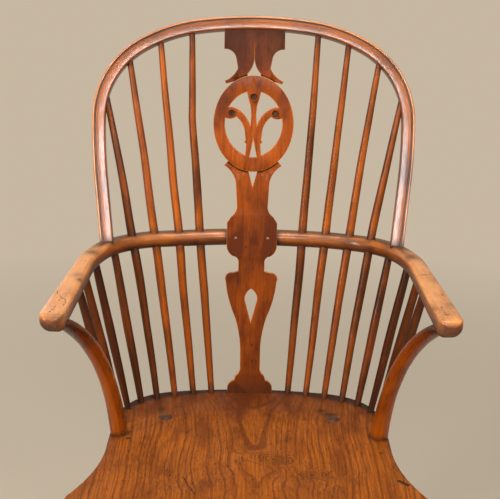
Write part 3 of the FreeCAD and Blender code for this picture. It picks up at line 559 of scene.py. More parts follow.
# %% [markdown]
# The next helpers finish a piece. Wear and painted highlights, dirt and painted shade, and tone
# are painted by a rule that reads each point's place. A piece then moves to the chair's place,
# takes its wood, and stands for the imported node that it replaces.

# %% Paint and finish
FLAT_FACE = 4e-5


def paint(bm, name, value_at):
    """Write a number on every point, worked out from its place and its wood coordinates."""
    grain = bm.verts.layers.float_vector["grain"]
    layer = bm.verts.layers.float.new(name)
    for vert in bm.verts:
        vert[layer] = value_at(vert.co, vert[grain])


def shift_grain(bm, amount):
    """Move a piece's wood coordinates, so that it shows another part of the tree."""
    grain = bm.verts.layers.float_vector["grain"]
    for vert in bm.verts:
        vert[grain] = vert[grain] + Vector(amount)


def finish_piece(bm, name, nodes, material, place=CHAIR, flats=False):
    """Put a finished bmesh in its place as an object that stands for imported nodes."""
    bm.transform(place)
    for face in bm.faces:
        face.smooth = not (flats and face.calc_area() > FLAT_FACE)
    mesh = bpy.data.meshes.new(name)
    bm.to_mesh(mesh)
    bm.free()
    mesh.materials.append(material)
    piece = bpy.data.objects.new(name, mesh)
    scene.collection.objects.link(piece)
    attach(piece, "root")
    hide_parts(*nodes)
    print(name, len(mesh.polygons), "faces")
    return piece


print("helpers: paint, shift_grain, finish_piece")

# %% [markdown]
# Sections are placed by a matrix: across the stick, up its section and along it. The rules for
# dirt and wear need a table to read, a share of the way and a soft fading. A board's section is a
# rectangle with rounded corners, and a stick's is round.

# %% Frames, tables and sections
def frame_at(point, across, up):
    """Matrix whose X runs across a stick, Y up its section and Z along it."""
    along = across.cross(up)
    matrix = Matrix((across, up, along)).transposed().to_4x4()
    matrix.translation = point
    return matrix


def between(x, table):
    """Read a table of (position, value) pairs, in straight steps from one to the next."""
    for (x0, y0), (x1, y1) in zip(table, table[1:]):
        if x <= x1:
            share = max(0.0, (x - x0) / (x1 - x0))
            return y0 + (y1 - y0) * share
    return table[-1][1]


def span_of(value, low, high):
    """Share of the way from low to high, kept between nought and one."""
    return min(1.0, max(0.0, (value - low) / (high - low)))


def fade_out(distance, reach):
    """One at a joint, falling to nought at some reach from it."""
    return math.exp(-(distance / reach) ** 2)


def arc_points(x, y, radius, first, last, steps):
    """Points of an arc, with angles in degrees."""
    angles = [math.radians(first + (last - first) * step / steps) for step in range(steps + 1)]
    return [(x + radius * math.cos(angle), y + radius * math.sin(angle)) for angle in angles]


def board_section(width, top, bottom, corners, steps=6):
    """A rectangle with rounded corners, each so wide and so high, from the outer top round."""
    points = []
    for number, (wide, high) in enumerate(corners):
        right = 1 if number in (0, 3) else -1
        level = top if number in (0, 1) else -bottom
        wide = min(wide, width / 2 - 0.1)
        high = min(high, (top + bottom) / 2 - 0.1)
        middle_x = right * (width / 2 - wide)
        middle_y = level - math.copysign(high, level)
        for x, y in arc_points(0, 0, 1, number * 90, number * 90 + 90, steps):
            points.append((middle_x + wide * x, middle_y + high * y))
    return points


def round_section(width, depth, sides=20):
    angles = [math.tau * side / sides for side in range(sides)]
    return [(width / 2 * math.cos(angle), depth / 2 * math.sin(angle)) for angle in angles]


print("helpers: frame_at, between, span_of, fade_out, arc_points and two sections")

# %% [markdown]
# Both bows are bent over a former, and their shape is a run of arcs that flow into each other.
# The path below walks the arcs of the right half and mirrors them for the left. A heading of
# nought is the middle of the back, and it grows as the bow turns forward or down.

# %% Walk a bow
def outward(heading):
    """Direction out of a bow at a heading in degrees."""
    return Vector((math.sin(math.radians(heading)), math.cos(math.radians(heading)), 0))


def bow_walk(top, arcs, step):
    """Points and headings of a bow's middle line, from the centre to the end of its last arc."""
    here = Vector((0, top, 0))
    heading = 0.0
    walk = [(here, heading)]
    for radius, end in arcs:
        centre = here - radius * outward(heading)
        count = max(2, round(math.radians(end - heading) * radius / step))
        for index in range(1, count + 1):
            angle = heading + (end - heading) * index / count
            walk.append((centre + radius * outward(angle), angle))
        here = walk[-1][0]
        heading = end
    return walk


def straight_on(walk, length, step):
    """Go straight on from the end of a walk."""
    point, heading = walk[-1]
    along = outward(heading + 90)
    count = max(1, round(length / step))
    shares = range(1, count + 1)
    return walk + [(point + along * length * index / count, heading) for index in shares]


def both_sides(walk):
    """The left half mirrored and walked backwards, and then the right half."""
    left = [(Vector((-point.x, point.y, 0)), -heading) for point, heading in walk[:0:-1]]
    return left + walk


print("helpers: outward, bow_walk, straight_on, both_sides")

# %% [markdown]
# The arm bow is one bent stick. At the back its front edge is worn almost round, and towards the
# hands it grows broader and keeps a flat top, which years of palms have rubbed to a pale honey
# colour. The hands are cut square and their corners and noses are rounded, so the last sections
# shrink quickly, in plan by the corner's arc and in height by the nose's.

# %% The arm bow's line
ARM_ARCS = ((520, 17.5), (122, 70), (300, 87))
ARM_BACK = 58.5
ARM_WIDTH = 28
HAND_WIDTH = 34
HAND_REACH = 398
HAND_CORNER = 15

arm_walk = bow_walk(ARM_BACK, ARM_ARCS, 6)
bend_end, hand_heading = arm_walk[-1]
hand_length = (HAND_REACH + bend_end.y) / -outward(hand_heading + 90).y
arm_walk = straight_on(arm_walk, hand_length - HAND_CORNER, 7)
hand_root, _ = arm_walk[-1]
for share in (0.15, 0.3, 0.45, 0.58, 0.7, 0.8, 0.88, 0.94, 0.98, 1.0):
    arm_walk.append((hand_root + outward(hand_heading + 90) * HAND_CORNER * share, hand_heading))
arm_line = both_sides(arm_walk)
print("arm bow", len(arm_line), "stations")

# %% [markdown]
# A section of the bow is a rectangle whose four corners have their own roundings, read from the
# distance left to the end of the hand. The inner top edge is round at the back and crisp at the
# hand, and under each hand the outer edge is scooped for the fingers.

# %% The arm bow's sections
HAND_TOP_EDGE = 12
HAND_UNDERCUT = 6
HAND_SCOOP = (20, 12)
SCOOP_LENGTH = 60
EDGE_FAR = hand_length + 130


def rounded_end(half, radius, left):
    """Half a width near an end that is rounded at its corners, a distance left before it."""
    if left >= radius:
        return half
    return half - radius + math.sqrt(max(0.0, radius ** 2 - (radius - left) ** 2))


def arm_stations():
    tip = arm_walk[-1][0]
    stations = []
    for point, heading in arm_line:
        left = (Vector((abs(point.x), point.y, 0)) - tip).length
        hand = 1 - span_of(left, 0, hand_length)
        scoop = 1 - span_of(left, 10, SCOOP_LENGTH)
        broad = ARM_WIDTH + (HAND_WIDTH - ARM_WIDTH) * hand
        width = 2 * rounded_end(broad / 2, HAND_CORNER, left)
        top = rounded_end(ARM_THICK / 2, HAND_TOP_EDGE, left)
        bottom = rounded_end(ARM_THICK / 2, HAND_UNDERCUT, left)
        inner = between(left, ((0, 3), (hand_length * 0.6, 7), (EDGE_FAR, 11)))
        outer = between(left, ((0, 3), (hand_length, 6), (EDGE_FAR, 6)))
        scooped = (6 + (HAND_SCOOP[0] - 6) * scoop, 6 + (HAND_SCOOP[1] - 6) * scoop)
        corners = ((outer, outer), (inner, inner), (inner, inner), scooped)
        wave = noise.noise(Vector((point.x, point.y, 40)) / 60) * 0.7
        lift = Vector((0, 0, ARM_TOP - ARM_THICK / 2 + wave - 0.4))
        section = board_section(width, top, bottom, corners)
        stations.append((frame_at(point + lift, outward(heading), UP), section))
    return stations


bm = skin(arm_stations())
print("arm bow", len(bm.faces), "faces")

# %% [markdown]
# Palms have rubbed the arms pale and smooth, and dirt lies where no hand reaches: round the
# splat, the spindles and the top bow's feet. Shade is painted under the hands, on their sides and
# noses and down the bow's lower part, and a painted highlight, mixed with wear, runs along the
# front edge at the back. The left hand has a ragged crack. Its places are measured along the
# bent stick, so they are first drawn in plan and then looked up on the bow's line.

# %% Worn arms, with painted shade and highlight
HOOP_FOOT = 230
SPLAT_GAP = 41
SPINDLE_CROSSINGS = ((82, 50), (118.5, 43), (156, 33), (189.5, 14.5))
CRACK_HALF_WIDTH = 0.0005


def on_arm(x, y):
    """Wood coordinates of a place on the arm bow's top, given in the chair's millimetres."""
    travelled = 0.0
    nearest = (math.inf, None)
    previous = arm_line[0][0]
    for point, heading in arm_line:
        travelled += (point - previous).length
        previous = point
        away = Vector((x, y, 0)) - point
        nearest = min(nearest, (away.length, (away.dot(outward(heading)) * MM, 0, travelled * MM)))
    return nearest[1]


def arm_grime_and_shade(spot, grain):
    """Dirt round splat, spindles and top bow's feet; painted shade on the hands and lower bow."""
    across, up = grain.x / MM, grain.y / MM
    hand_zone = span_of(-spot.y, 30, 110)
    near = fade_out(max(0.0, abs(spot.x) - SPLAT_GAP), 4)
    if up > 4:
        for x, y in SPINDLE_CROSSINGS:
            near = max(near, fade_out(math.hypot(abs(spot.x) - x, spot.y - y), 9))
        near = max(near, fade_out(math.hypot(abs(spot.x) - HOOP_FOOT, spot.y - BOW_FOOT_Y), 17))
    shelf = span_of(up, 5, 9) * span_of(across, -8, -4) * span_of(spot.y, -75, -40)
    # Painted shade: the hands' lower sides, their noses below the lip, and the bow's lower part.
    side = span_of(8 - up, 0, 5) * hand_zone
    nose = span_of(-spot.y, 383, 392) * span_of(3 - up, 0, 4)
    under = span_of(4 - up, 0, 12)
    return max(0.95 * near, 0.85 * shelf, 0.75 * side, 0.9 * nose, 0.85 * under)


def arm_wear_and_highlight(spot, grain):
    """Palms rub the flat tops, hands to top bow; the front edge has wear and painted highlight."""
    across, up = grain.x / MM, grain.y / MM
    top = span_of(up, 5, 10) * span_of(-spot.y, 10, 70)
    # Painted highlight, with wear, along the front edge behind the hands.
    edge = span_of(up, 2, 7) * span_of(-across, 3, 7) * span_of(spot.y, -90, -30)
    return max(top, 0.3 * edge)


ARM_MARKS = (
    (on_arm(-247, -233), (0.006, 1, 0.009), 0.8),
    (on_arm(-252, -212), (0.010, 1, 0.014), 0.5),
    (on_arm(-186, -32), (0.004, 1, 0.005), 0.85),
    (on_arm(-245, -85), (0.012, 1, 0.016), 0.75),
    (on_arm(-249, -136), (0.0025, 1, 0.0025), 0.5),
    (on_arm(-258, -394), (0.016, 1, 0.008), 0.6),
    (on_arm(254, -185), (0.010, 1, 0.0025), 0.6),
    (on_arm(268, -282), (0.002, 1, 0.004), 0.8),
    (on_arm(262, -367), (0.004, 1, 0.003), 0.8),
    (on_arm(245, -85), (0.010, 1, 0.012), 0.55),
)
HAND_CRACKS = (
    ((-271.8, -288.3), (-269.1, -301.6), (-259.2, -317.8), (-262.6, -331), (-262.5, -337.7)),
    ((-259.2, -317.8), (-253.7, -330.5), (-252.6, -344.4), (-254.4, -353.9)),
    ((-264.1, -354.4), (-265.9, -370.8), (-269, -384.3)),
)
arm_cracks = []
for line in HAND_CRACKS:
    places = [on_arm(x, y) for x, y in line]
    arm_cracks.append((CRACK_HALF_WIDTH, [(across, along) for across, _, along in places]))
arm_wood = wood(
    "Worn arm wood", (0.50, 0.125, 0.009, 1), (0.25, 0.050, 0.004, 1), (0.060, 0.012, 0.003, 1),
    worn_and_highlit=(0.76, 0.33, 0.11, 1), gloss=(0.16, 0.3), sheen=0.3, coat=0.2,
    marks=ARM_MARKS, cracks=arm_cracks,
)
paint(bm, "wear_and_highlight", arm_wear_and_highlight)
paint(bm, "grime_and_shade", arm_grime_and_shade)
paint(bm, "tone", lambda spot, grain: 0.25 * span_of(spot.y, -60, 20) - 0.1)
finish_piece(bm, "bent_arm_bow", ["arm_bow"], arm_wood)

# %% [markdown]
# The top bow is a flat hoop. Its front is scratched with a fine groove that leaves a bead along
# the outer edge, drawn into the section once and carried all the way round. The feet stand
# square on the arm bow, so the hoop is wrapped a little too long and cut off level.

# %% The top bow's section and finish
BOW_ARCS = ((629.5, 8.1), (249.5, 30), (135.5, 90), (869.5, 96.5))
BOW_RISE = 352.5
BOW_SPARE = 14
BOW_SUNK = 3


def bow_section():
    """Section of the hoop: across and outwards, and towards the front."""
    points = arc_points(8.25, 7.75, 2.25, 0, 150, 6)
    points += [(6.1, 8.3), (4.7, 8.2), (4.1, 9.4)]
    points += arc_points(3.4, 9.2, 0.8, 60, 90, 2)
    points += [(-2, 10.1)]
    points += arc_points(-7.7, 7.2, 2.8, 90, 180, 5)
    points += arc_points(-6.5, -6, 4, 180, 270, 5)
    points += arc_points(4.5, -4, 6, 270, 360, 6)
    return points


def bow_grime(spot, grain):
    """The scratched groove is black with old wax, and the inner face is darker."""
    groove = 1.0 if 4.2 < grain.x / MM < 6.4 and 8 < grain.y / MM < 9.3 else 0.0
    inner = 0.45 * span_of(-grain.x / MM, 7, 10.5)
    foot = 0.9 * fade_out(max(0.0, spot.y), 4)
    return max(groove, inner, foot)


def bow_wear(spot, grain):
    """The outer bead is rubbed bright."""
    return span_of(grain.x / MM, 6.4, 8.5)


def slice_off(bm, point, direction):
    """Cut away what lies beyond a plane, and close the cut."""
    whole = list(bm.verts) + list(bm.edges) + list(bm.faces)
    bmesh.ops.bisect_plane(bm, geom=whole, plane_co=point, plane_no=direction, clear_outer=True)
    cap_ends(bm)


print("section of", len(bow_section()), "points")

# %% [markdown]
# The hoop is drawn flat, wrapped, and painted while its wood coordinates are still easy to read.
# Then it leans back into its place, and its feet are cut level in the arm bow.

# %% Top bow
hoop_walk = bow_walk(BOW_RISE, BOW_ARCS, 5)
hoop_end, foot_heading = hoop_walk[-1]
foot_length = (hoop_end.y + BOW_SPARE) / -outward(foot_heading + 90).y
hoop_walk = straight_on(hoop_walk, foot_length, 6)
hoop_stations = []
for point, heading in both_sides(hoop_walk):
    wave = Vector((0, 0, noise.noise(point / 70) * 0.8))
    matrix = frame_at(point + wave, outward(heading), UP)
    hoop_stations.append((matrix, bow_section()))
bm = skin(hoop_stations)
paint(bm, "wear_and_highlight", bow_wear)
paint(bm, "grime_and_shade", bow_grime)
paint(bm, "tone", lambda spot, grain: 0.25 * noise.noise(spot / 90))
bm.transform(HOOP_PLACE)
slice_off(bm, (0, 0, ARM_TOP - BOW_SUNK), (0, 0, -1))
finish_piece(bm, "bent_top_bow", ["top_bow"], bow_wood)

# %% [markdown]
# The splat is sawn from a thin board and pierced with a fretsaw. Each layer, which is the stem,
# the wheel or the head, starts as outlines that are filled between their edges, so the holes
# stay open. Outlines are written as a maker's pattern is drawn: straight to a point, or round an
# arc through two.

# %% Outlines
def arc_through(first, middle, last, spacing):
    """Points after the first one on the arc through three points."""
    a, b, c = Vector(first), Vector(middle), Vector(last)
    side_b, side_c = b - a, c - a
    cross = side_b.cross(side_c)
    centre_x = (side_c.y * side_b.length_squared - side_b.y * side_c.length_squared) / (2 * cross)
    centre_y = (side_b.x * side_c.length_squared - side_c.x * side_b.length_squared) / (2 * cross)
    centre = a + Vector((centre_x, centre_y))
    start = math.atan2(a.y - centre.y, a.x - centre.x)
    sweep = math.atan2(c.y - centre.y, c.x - centre.x) - start
    sweep = sweep % math.tau if cross > 0 else -(-sweep % math.tau)
    radius = (a - centre).length
    count = max(3, math.ceil(abs(sweep) * radius / spacing))
    points = []
    for index in range(1, count + 1):
        angle = start + sweep * index / count
        points.append((centre.x + radius * math.cos(angle), centre.y + radius * math.sin(angle)))
    return points


def trace(start, steps, spacing=1.6):
    """Turn steps of one point, a line, or two points, an arc, into a run of points."""
    points = [start]
    for step in steps:
        if len(step) == 1:
            points.append(step[0])
        else:
            points += arc_through(points[-1], step[0], step[1], spacing)
    return points


def mirrored(points):
    """Close a half outline, which starts and ends on the middle line, with its mirror image."""
    return points + [(-x, y) for x, y in points[-2:0:-1]]


print("helpers: arc_through, trace, mirrored")

# %% [markdown]
# A plate is the filled outline pushed up and bevelled. Faces between loops could be bridged by
# hand, but a triangle fill copes with any number of holes. Layers are joined by exact booleans,
# because their edges run into each other at odd angles.

# %% Plates and booleans
RIM_ANGLE = 1.2


def plate(loops, low, high, ease):
    """A flat plate between two levels, filled between its loops, with its rims eased."""
    bm = bmesh.new()
    for loop in loops:
        verts = [bm.verts.new((x, y, low)) for x, y in loop]
        for first, second in zip(verts, verts[1:] + verts[:1]):
            bm.edges.new((first, second))
    bmesh.ops.triangle_fill(bm, edges=bm.edges, use_beauty=True, normal=(0, 0, 1))
    pushed = bmesh.ops.extrude_face_region(bm, geom=list(bm.faces), use_keep_orig=True)
    raised = [item for item in pushed["geom"] if isinstance(item, bmesh.types.BMVert)]
    bmesh.ops.translate(bm, verts=raised, vec=(0, 0, high - low))
    bmesh.ops.recalc_face_normals(bm, faces=bm.faces)
    rims = [edge for edge in bm.edges if len(edge.link_faces) == 2]
    rims = [edge for edge in rims if edge.calc_face_angle() > RIM_ANGLE]
    rims = [edge for edge in rims if abs(edge.verts[0].co.z - edge.verts[1].co.z) < 1e-4]
    easing = {"offset": ease, "segments": 3, "profile": 0.5, "affect": "EDGES", "material": -1}
    bmesh.ops.bevel(bm, geom=rims, **easing)
    return bm


def as_object(bm, name):
    mesh = bpy.data.meshes.new(name)
    bm.to_mesh(mesh)
    bm.free()
    helper = bpy.data.objects.new(name, mesh)
    scene.collection.objects.link(helper)
    return helper


def combine(base, others, way):
    """Join or cut solids with a boolean, and return the result as a new bmesh."""
    for other in others:
        tool = base.modifiers.new(other.name, "BOOLEAN")
        tool.operation = way
        tool.solver = "EXACT"
        tool.object = other
    bpy.context.view_layer.update()
    result = base.evaluated_get(bpy.context.evaluated_depsgraph_get()).to_mesh()
    bm = bmesh.new()
    bm.from_mesh(result)
    for helper in [base] + others:
        bpy.data.objects.remove(helper)
    return bm


print("helpers: plate, as_object, combine")

# %% [markdown]
# The outlines are those of the sawn board, drawn for the right half and mirrored. Heights are
# measured up the board from the seat, and those of the wheel from its centre. The three plumes
# are what is left between the holes, so only the holes are drawn.

# %% The splat's outlines
# Each step is the next point, or two points that an arc goes through
SPLAT_HALF = 4.5
WHEEL_FRONT = 6.2
WHEEL_BACK = 5.5
WHEEL_HEIGHT = 439.5
WHEEL_ACROSS = 64.5
WHEEL_ALONG = 77.3
EYES = ((0, 42.5), (35, 16), (-35, 16))
EYE_WIDTH = 11.4
EYE_DEPTH = 2.4
STEM = [
    ((41, 378),),
    ((46.5, 372),),
    ((33.5, 360), (27, 343.5)),
    ((25, 303.5),),
    ((28.5, 294.5), (34.2, 289)),
    ((40.7, 279),),
    ((40.7, 241),),
    ((36.5, 230), (30, 224.5)),
    ((23.5, 221.5), (21.2, 214.5)),
    ((21.5, 200),),
    ((31, 197.5),),
    ((40.5, 194), (41.5, 183.5)),
    ((36.5, 155.5), (26.2, 126)),
    ((18.9, 97), (16.3, 67)),
    ((16.3, 44),),
    ((17.8, 34), (23.5, 28)),
    ((25.5, 20.5),),
    ((33.5, 15.5), (36.8, 6)),
    ((36.8, -2),),
    ((0, -2),),
]
TEARDROP = [((7.6, 164), (10, 153.5)), ((5.4, 136), (0, 116))]
LOWER_EYELET = [((7, 362),), ((7, 368),), ((0, 368),)]
HEAD = [
    ((48.6, 597),),
    ((48.6, 558.5),),
    ((34.5, 553.5), (28.9, 542)),
    ((26.3, 528),),
    ((34.5, 516), (47.3, 507.5)),
    ((45, 503),),
    ((24, 509.5),),
    ((0, 508),),
]
SPADE = [((2.9, 531), (10.8, 519)), ((10, 512),), ((0, 512),)]
PLUME_UNDER = [
    ((35.5, -33), (45.6, 9)),
    ((35, 7.6), (28.2, 11)),
    ((20, 2.5), (14.6, -10)),
    ((12.6, -26.5),),
    ((14.6, -29.5),),
    ((11.4, -33),),
    ((13, -50.8),),
]
PLUME_OVER = [
    ((4.4, 14), (5.6, 29)),
    ((9, 40),),
    ((11.5, 50.7),),
    ((27.5, 42), (39.8, 26.8)),
    ((31, 25.6), (22, 21.2)),
    ((12.2, 11), (5.5, -2.5)),
]
LEG_SLOT = [((5.8, -54),), ((0, -54),)]
print("stem outline", len(trace((0, 378), STEM)), "points")

# %% [markdown]
# The wheel's edge is an oval. Each eye is a shallow hollow left by the side of a ball, with a low
# ring carved round it, which is a small circle spun about the eye's middle.

# %% Wheel, eyes and rims
RIM_RADIUS = 0.95
RIM_SUNK = 0.25


def on_wheel(points, side=1):
    """Points drawn from the wheel's centre, moved up the board."""
    return [(side * x, y + WHEEL_HEIGHT) for x, y in points]


def oval_points(grow):
    """Points of the wheel's outer edge, moved outwards a little."""
    turns = [math.tau * index / 150 for index in range(150)]
    across, along = WHEEL_ACROSS + grow, WHEEL_ALONG + grow
    return [(across * math.cos(turn), along * math.sin(turn)) for turn in turns]


def eye_cutter(x, y, front):
    """A ball whose cap, sunk in the front, is one eye."""
    radius = (EYE_WIDTH ** 2 / 4 + EYE_DEPTH ** 2) / (2 * EYE_DEPTH)
    bm = bmesh.new()
    bmesh.ops.create_uvsphere(bm, u_segments=48, v_segments=32, radius=radius)
    bmesh.ops.translate(bm, verts=bm.verts, vec=(x, y, front - EYE_DEPTH + radius))
    return as_object(bm, "eye_cutter")


def spin_round(bm, steps):
    """Spin everything about the Z axis into a closed skin."""
    spin = {"axis": (0, 0, 1), "cent": (0, 0, 0), "angle": math.tau, "use_merge": True}
    bmesh.ops.spin(bm, geom=list(bm.verts) + list(bm.edges), steps=steps, **spin)
    bmesh.ops.remove_doubles(bm, verts=bm.verts, dist=1e-4)
    cap_ends(bm)
    bmesh.ops.recalc_face_normals(bm, faces=bm.faces)


def eye_rim(x, y, front):
    """A low carved ring round an eye: a small circle spun about the eye's axis."""
    bm = bmesh.new()
    ring = bmesh.ops.create_circle(bm, segments=10, radius=RIM_RADIUS)
    turn = Matrix.Translation((EYE_WIDTH / 2 + 0.7, 0, 0)) @ Matrix.Rotation(math.pi / 2, 4, "X")
    bmesh.ops.transform(bm, matrix=turn, verts=ring["verts"])
    spin_round(bm, 36)
    bmesh.ops.translate(bm, verts=bm.verts, vec=(x, y, front - RIM_SUNK))
    return as_object(bm, "eye_rim")


wheel_edge = oval_points(0)
print("wheel", 2 * WHEEL_ACROSS, "by", 2 * WHEEL_ALONG, "mm")

# %% [markdown]
# The order of the booleans matters. The stem and head are joined first, and a channel as wide as
# the gap round the wheel is cut from them, which leaves the scribed line. The wheel is then
# joined to them, the eyes are sunk, and their rims are set on.

# %% Join the splat
CHANNEL = (2.1, -3)
CHANNEL_DEPTH = 2.4
STEM_EASE = 0.7
WHEEL_EASE = 1.1

stem_loops = [mirrored(trace((0, 378), STEM)), mirrored(trace((0, 171.6), TEARDROP))]
stem_loops.append(mirrored(trace((0, 338), LOWER_EYELET)))
under = trace((13, -50.8), PLUME_UNDER)[:-1]
over = trace((5.5, -2.5), PLUME_OVER)[:-1]
slot_loop = mirrored(trace((0, -25.5), LEG_SLOT))
wheel_loops = [on_wheel(loop) for loop in (wheel_edge, under, over, slot_loop)]
wheel_loops += [on_wheel(loop, -1) for loop in (under, over)]
head_loops = [mirrored(trace((0, 597), HEAD)), mirrored(trace((0, 545.6), SPADE))]

wheel = as_object(plate(wheel_loops, -WHEEL_BACK, WHEEL_FRONT, WHEEL_EASE), "wheel_layer")
stem = as_object(plate(stem_loops, -SPLAT_HALF, SPLAT_HALF, STEM_EASE), "stem_layer")
head = as_object(plate(head_loops, -SPLAT_HALF, SPLAT_HALF, STEM_EASE), "head_layer")
channel_loops = [on_wheel(oval_points(grow)) for grow in CHANNEL]
channel = plate(channel_loops, SPLAT_HALF - CHANNEL_DEPTH, WHEEL_FRONT + 2, 0.2)
channel = as_object(channel, "channel")
rest = as_object(combine(stem, [head], "UNION"), "stem_and_head")
rest = as_object(combine(rest, [channel], "DIFFERENCE"), "scribed_layers")
joined = as_object(combine(wheel, [rest], "UNION"), "joined_layers")
cutters = [eye_cutter(x, y + WHEEL_HEIGHT, WHEEL_FRONT) for x, y in EYES]
pierced = as_object(combine(joined, cutters, "DIFFERENCE"), "pierced_board")
rims = [eye_rim(x, y + WHEEL_HEIGHT, WHEEL_FRONT) for x, y in EYES]
bm = combine(pierced, rims, "UNION")


def board_grain(bm):
    """Wood coordinates of a board drawn flat: across, through and along."""
    grain = bm.verts.layers.float_vector.new("grain")
    for vert in bm.verts:
        vert[grain] = Vector((vert.co.x, vert.co.z, vert.co.y)) * MM


board_grain(bm)
print("splat", len(bm.faces), "faces")

# %% [markdown]
# The splat is painted by height, because the wax lies darkest in the head and where the arm bow
# crosses, and is nearly gone from the wheel. Its eased rims are painted bright, as wear and as a
# painted highlight, and the scribed line round the wheel is painted dark as shade.

# %% The splat's finish, with painted shade and highlights
# Height up the board, and how dark the wax is there
SPLAT_TONES = (
    (0, 1.1), (40, 0.95), (70, 0.6), (150, 0.5), (200, 0.85), (235, 1.15), (275, 1.0), (300, 0.45),
    (360, 0.15), (395, -0.35), (450, 0.1), (500, 0.5), (530, 1.0), (600, 1.1),
)


def splat_grime_and_shade(spot, grain):
    """Wax darkens the head, eyes and foot; the scribed line round the wheel is painted shade."""
    across = spot.x / (WHEEL_ACROSS + 1)
    along = (spot.y - WHEEL_HEIGHT) / (WHEEL_ALONG + 1)
    beside_wheel = 0.985 < math.hypot(across, along) < 1.022
    # Painted shade in the scribed line round the wheel.
    step = 1.0 if beside_wheel and SPLAT_HALF - 2.6 < spot.z < SPLAT_HALF - 0.1 else 0.0
    eye = 0.0
    for x, y in EYES:
        reach = math.hypot(spot.x - x, spot.y - y - WHEEL_HEIGHT)
        if reach < EYE_WIDTH / 2 and spot.z > 3:
            eye = 1.0
    head = 0.62 * span_of(spot.y, 515, 560) * (0.75 + 0.25 * span_of(abs(spot.x), 5, 25))
    return max(step, eye, 0.6 * fade_out(spot.y, 6), head)


def splat_wear_and_highlight(spot, grain):
    """The eased rims are painted bright, as wear and as a painted highlight."""
    # Painted highlight, with wear, on the eased rims.
    board_rim = 2 < spot.z < SPLAT_HALF - 0.05
    wheel_rim = SPLAT_HALF + 0.6 < spot.z < WHEEL_FRONT - 0.05
    return 1.0 if board_rim or wheel_rim else 0.0


paint(bm, "wear_and_highlight", splat_wear_and_highlight)
paint(bm, "grime_and_shade", splat_grime_and_shade)
paint(bm, "tone", lambda spot, grain: between(spot.y, SPLAT_TONES))
splat_place = CHAIR @ SPLAT_PLACE
finish_piece(bm, "wheel_splat", ["splat"], splat_wood, splat_place, flats=True)

# %% [markdown]
# The spindles are shaved by hand from split wood, thickest about the arm bow and thin at both
# ends, so no two are quite alike. Each follows a gently bent line through three points: its
# socket in the seat, its hole in the arm bow and its hole in the top bow. A little noise in the
# width and the line keeps the marks of the shave.

# %% Where the spindles stand
LONG_SPINDLES = (
    ((62.5, -2), (82, 50), (102, 341)),
    ((92, -10), (118.5, 43), (151.5, 329.5)),
    ((121.5, -21), (156, 33), (201, 300)),
    ((149.5, -36), (189.5, 14.5), (237, 238)),
)
SHORT_SPINDLES = (
    ((173.5, -54), (218, -12)),
    ((192.5, -83), (242.5, -66)),
    ((199.5, -122), (252, -131)),
    ((202.5, -160), (255.5, -185)),
)
print("spindles", 2 * len(LONG_SPINDLES + SHORT_SPINDLES))

# %% [markdown]
# A spindle's width swells to a belly and tapers to its head. Smooth noise, read from the place of
# each section, adds the unevenness of the shave, so the same stick comes out the same each time.
# The first left spindle was split from wood with a kink, and keeps it.

# %% Shaved sticks
# A knee in the first left spindle: height and sideways shift
KNEE = ((600, 0), (690, -2), (815, -2.5), (850, -4), (880, -5), (1000, 1), (1019, 1))
SPINDLE_FOOT = 10
SPINDLE_BELLY = 14
SPINDLE_HEAD = 9.4
SHORT_HEAD = 12
SHORT_BELLY_SHARE = 0.55
HEAD_TAPER = 1.3


def stick_frame(point, heading):
    across = Vector((0, 1, 0)).cross(heading).normalized()
    return frame_at(point, across, heading.cross(across))


def shaved(width, point, seed):
    """A width with the small unevenness of handwork."""
    return width * (1 + 0.035 * noise.noise(point / 28 + Vector((seed * 9.1, 0, 0))))


def wobble(point, seed, amount):
    """A small sideways drift of a stick's middle line."""
    at = Vector((seed * 5.3, 0, point.z / 110))
    return Vector((noise.noise(at), noise.noise(at + Vector((0, 7, 0))), 0)) * amount


def turned_width(part, belly_share, head):
    """A spindle's width at a share of its length: it swells to the belly and tapers to the head."""
    if part <= belly_share:
        swell = math.sin(math.pi / 2 * part / belly_share)
        return SPINDLE_FOOT + (SPINDLE_BELLY - SPINDLE_FOOT) * swell
    swell = 1 - ((part - belly_share) / (1 - belly_share)) ** HEAD_TAPER
    return head + (SPINDLE_BELLY - head) * swell


print("spindles are", SPINDLE_FOOT, "to", SPINDLE_BELLY, "mm thick")

# %% [markdown]
# Three points fix a long spindle: it runs straight from seat to top bow, and a sag brings it
# through its hole in the arm bow. A short spindle is straight, and goes a little way into the
# bow.

# %% Lines of the spindles
LONG_STEPS = 64
SHORT_STEPS = 34


def long_stations(side, foot_xy, arm_xy, hoop_xy, seed):
    foot = Vector((side * foot_xy[0], foot_xy[1], seat_level(foot_xy[1])))
    waist = Vector((side * arm_xy[0], arm_xy[1], ARM_TOP - ARM_THICK / 2))
    head = HOOP_PLACE @ Vector((side * hoop_xy[0], hoop_xy[1], 0))
    share = (waist.z - foot.z) / (head.z - foot.z)
    sag = (waist - foot.lerp(head, share)) / (share * (1 - share))
    stations = []
    for index in range(-1, LONG_STEPS + 1):
        part = index / LONG_STEPS
        inside = max(part, 0)
        point = foot.lerp(head, part) + sag * part * (1 - part)
        heading = ((head - foot) + sag * (1 - 2 * inside)).normalized()
        drift = wobble(point, seed, 1.6) * math.sin(math.pi * inside)
        if seed == 1:
            drift.x += between(point.z, KNEE)
        width = shaved(turned_width(inside, share, SPINDLE_HEAD), point, seed)
        stations.append((stick_frame(point + drift, heading), round_section(width, width)))
    return stations


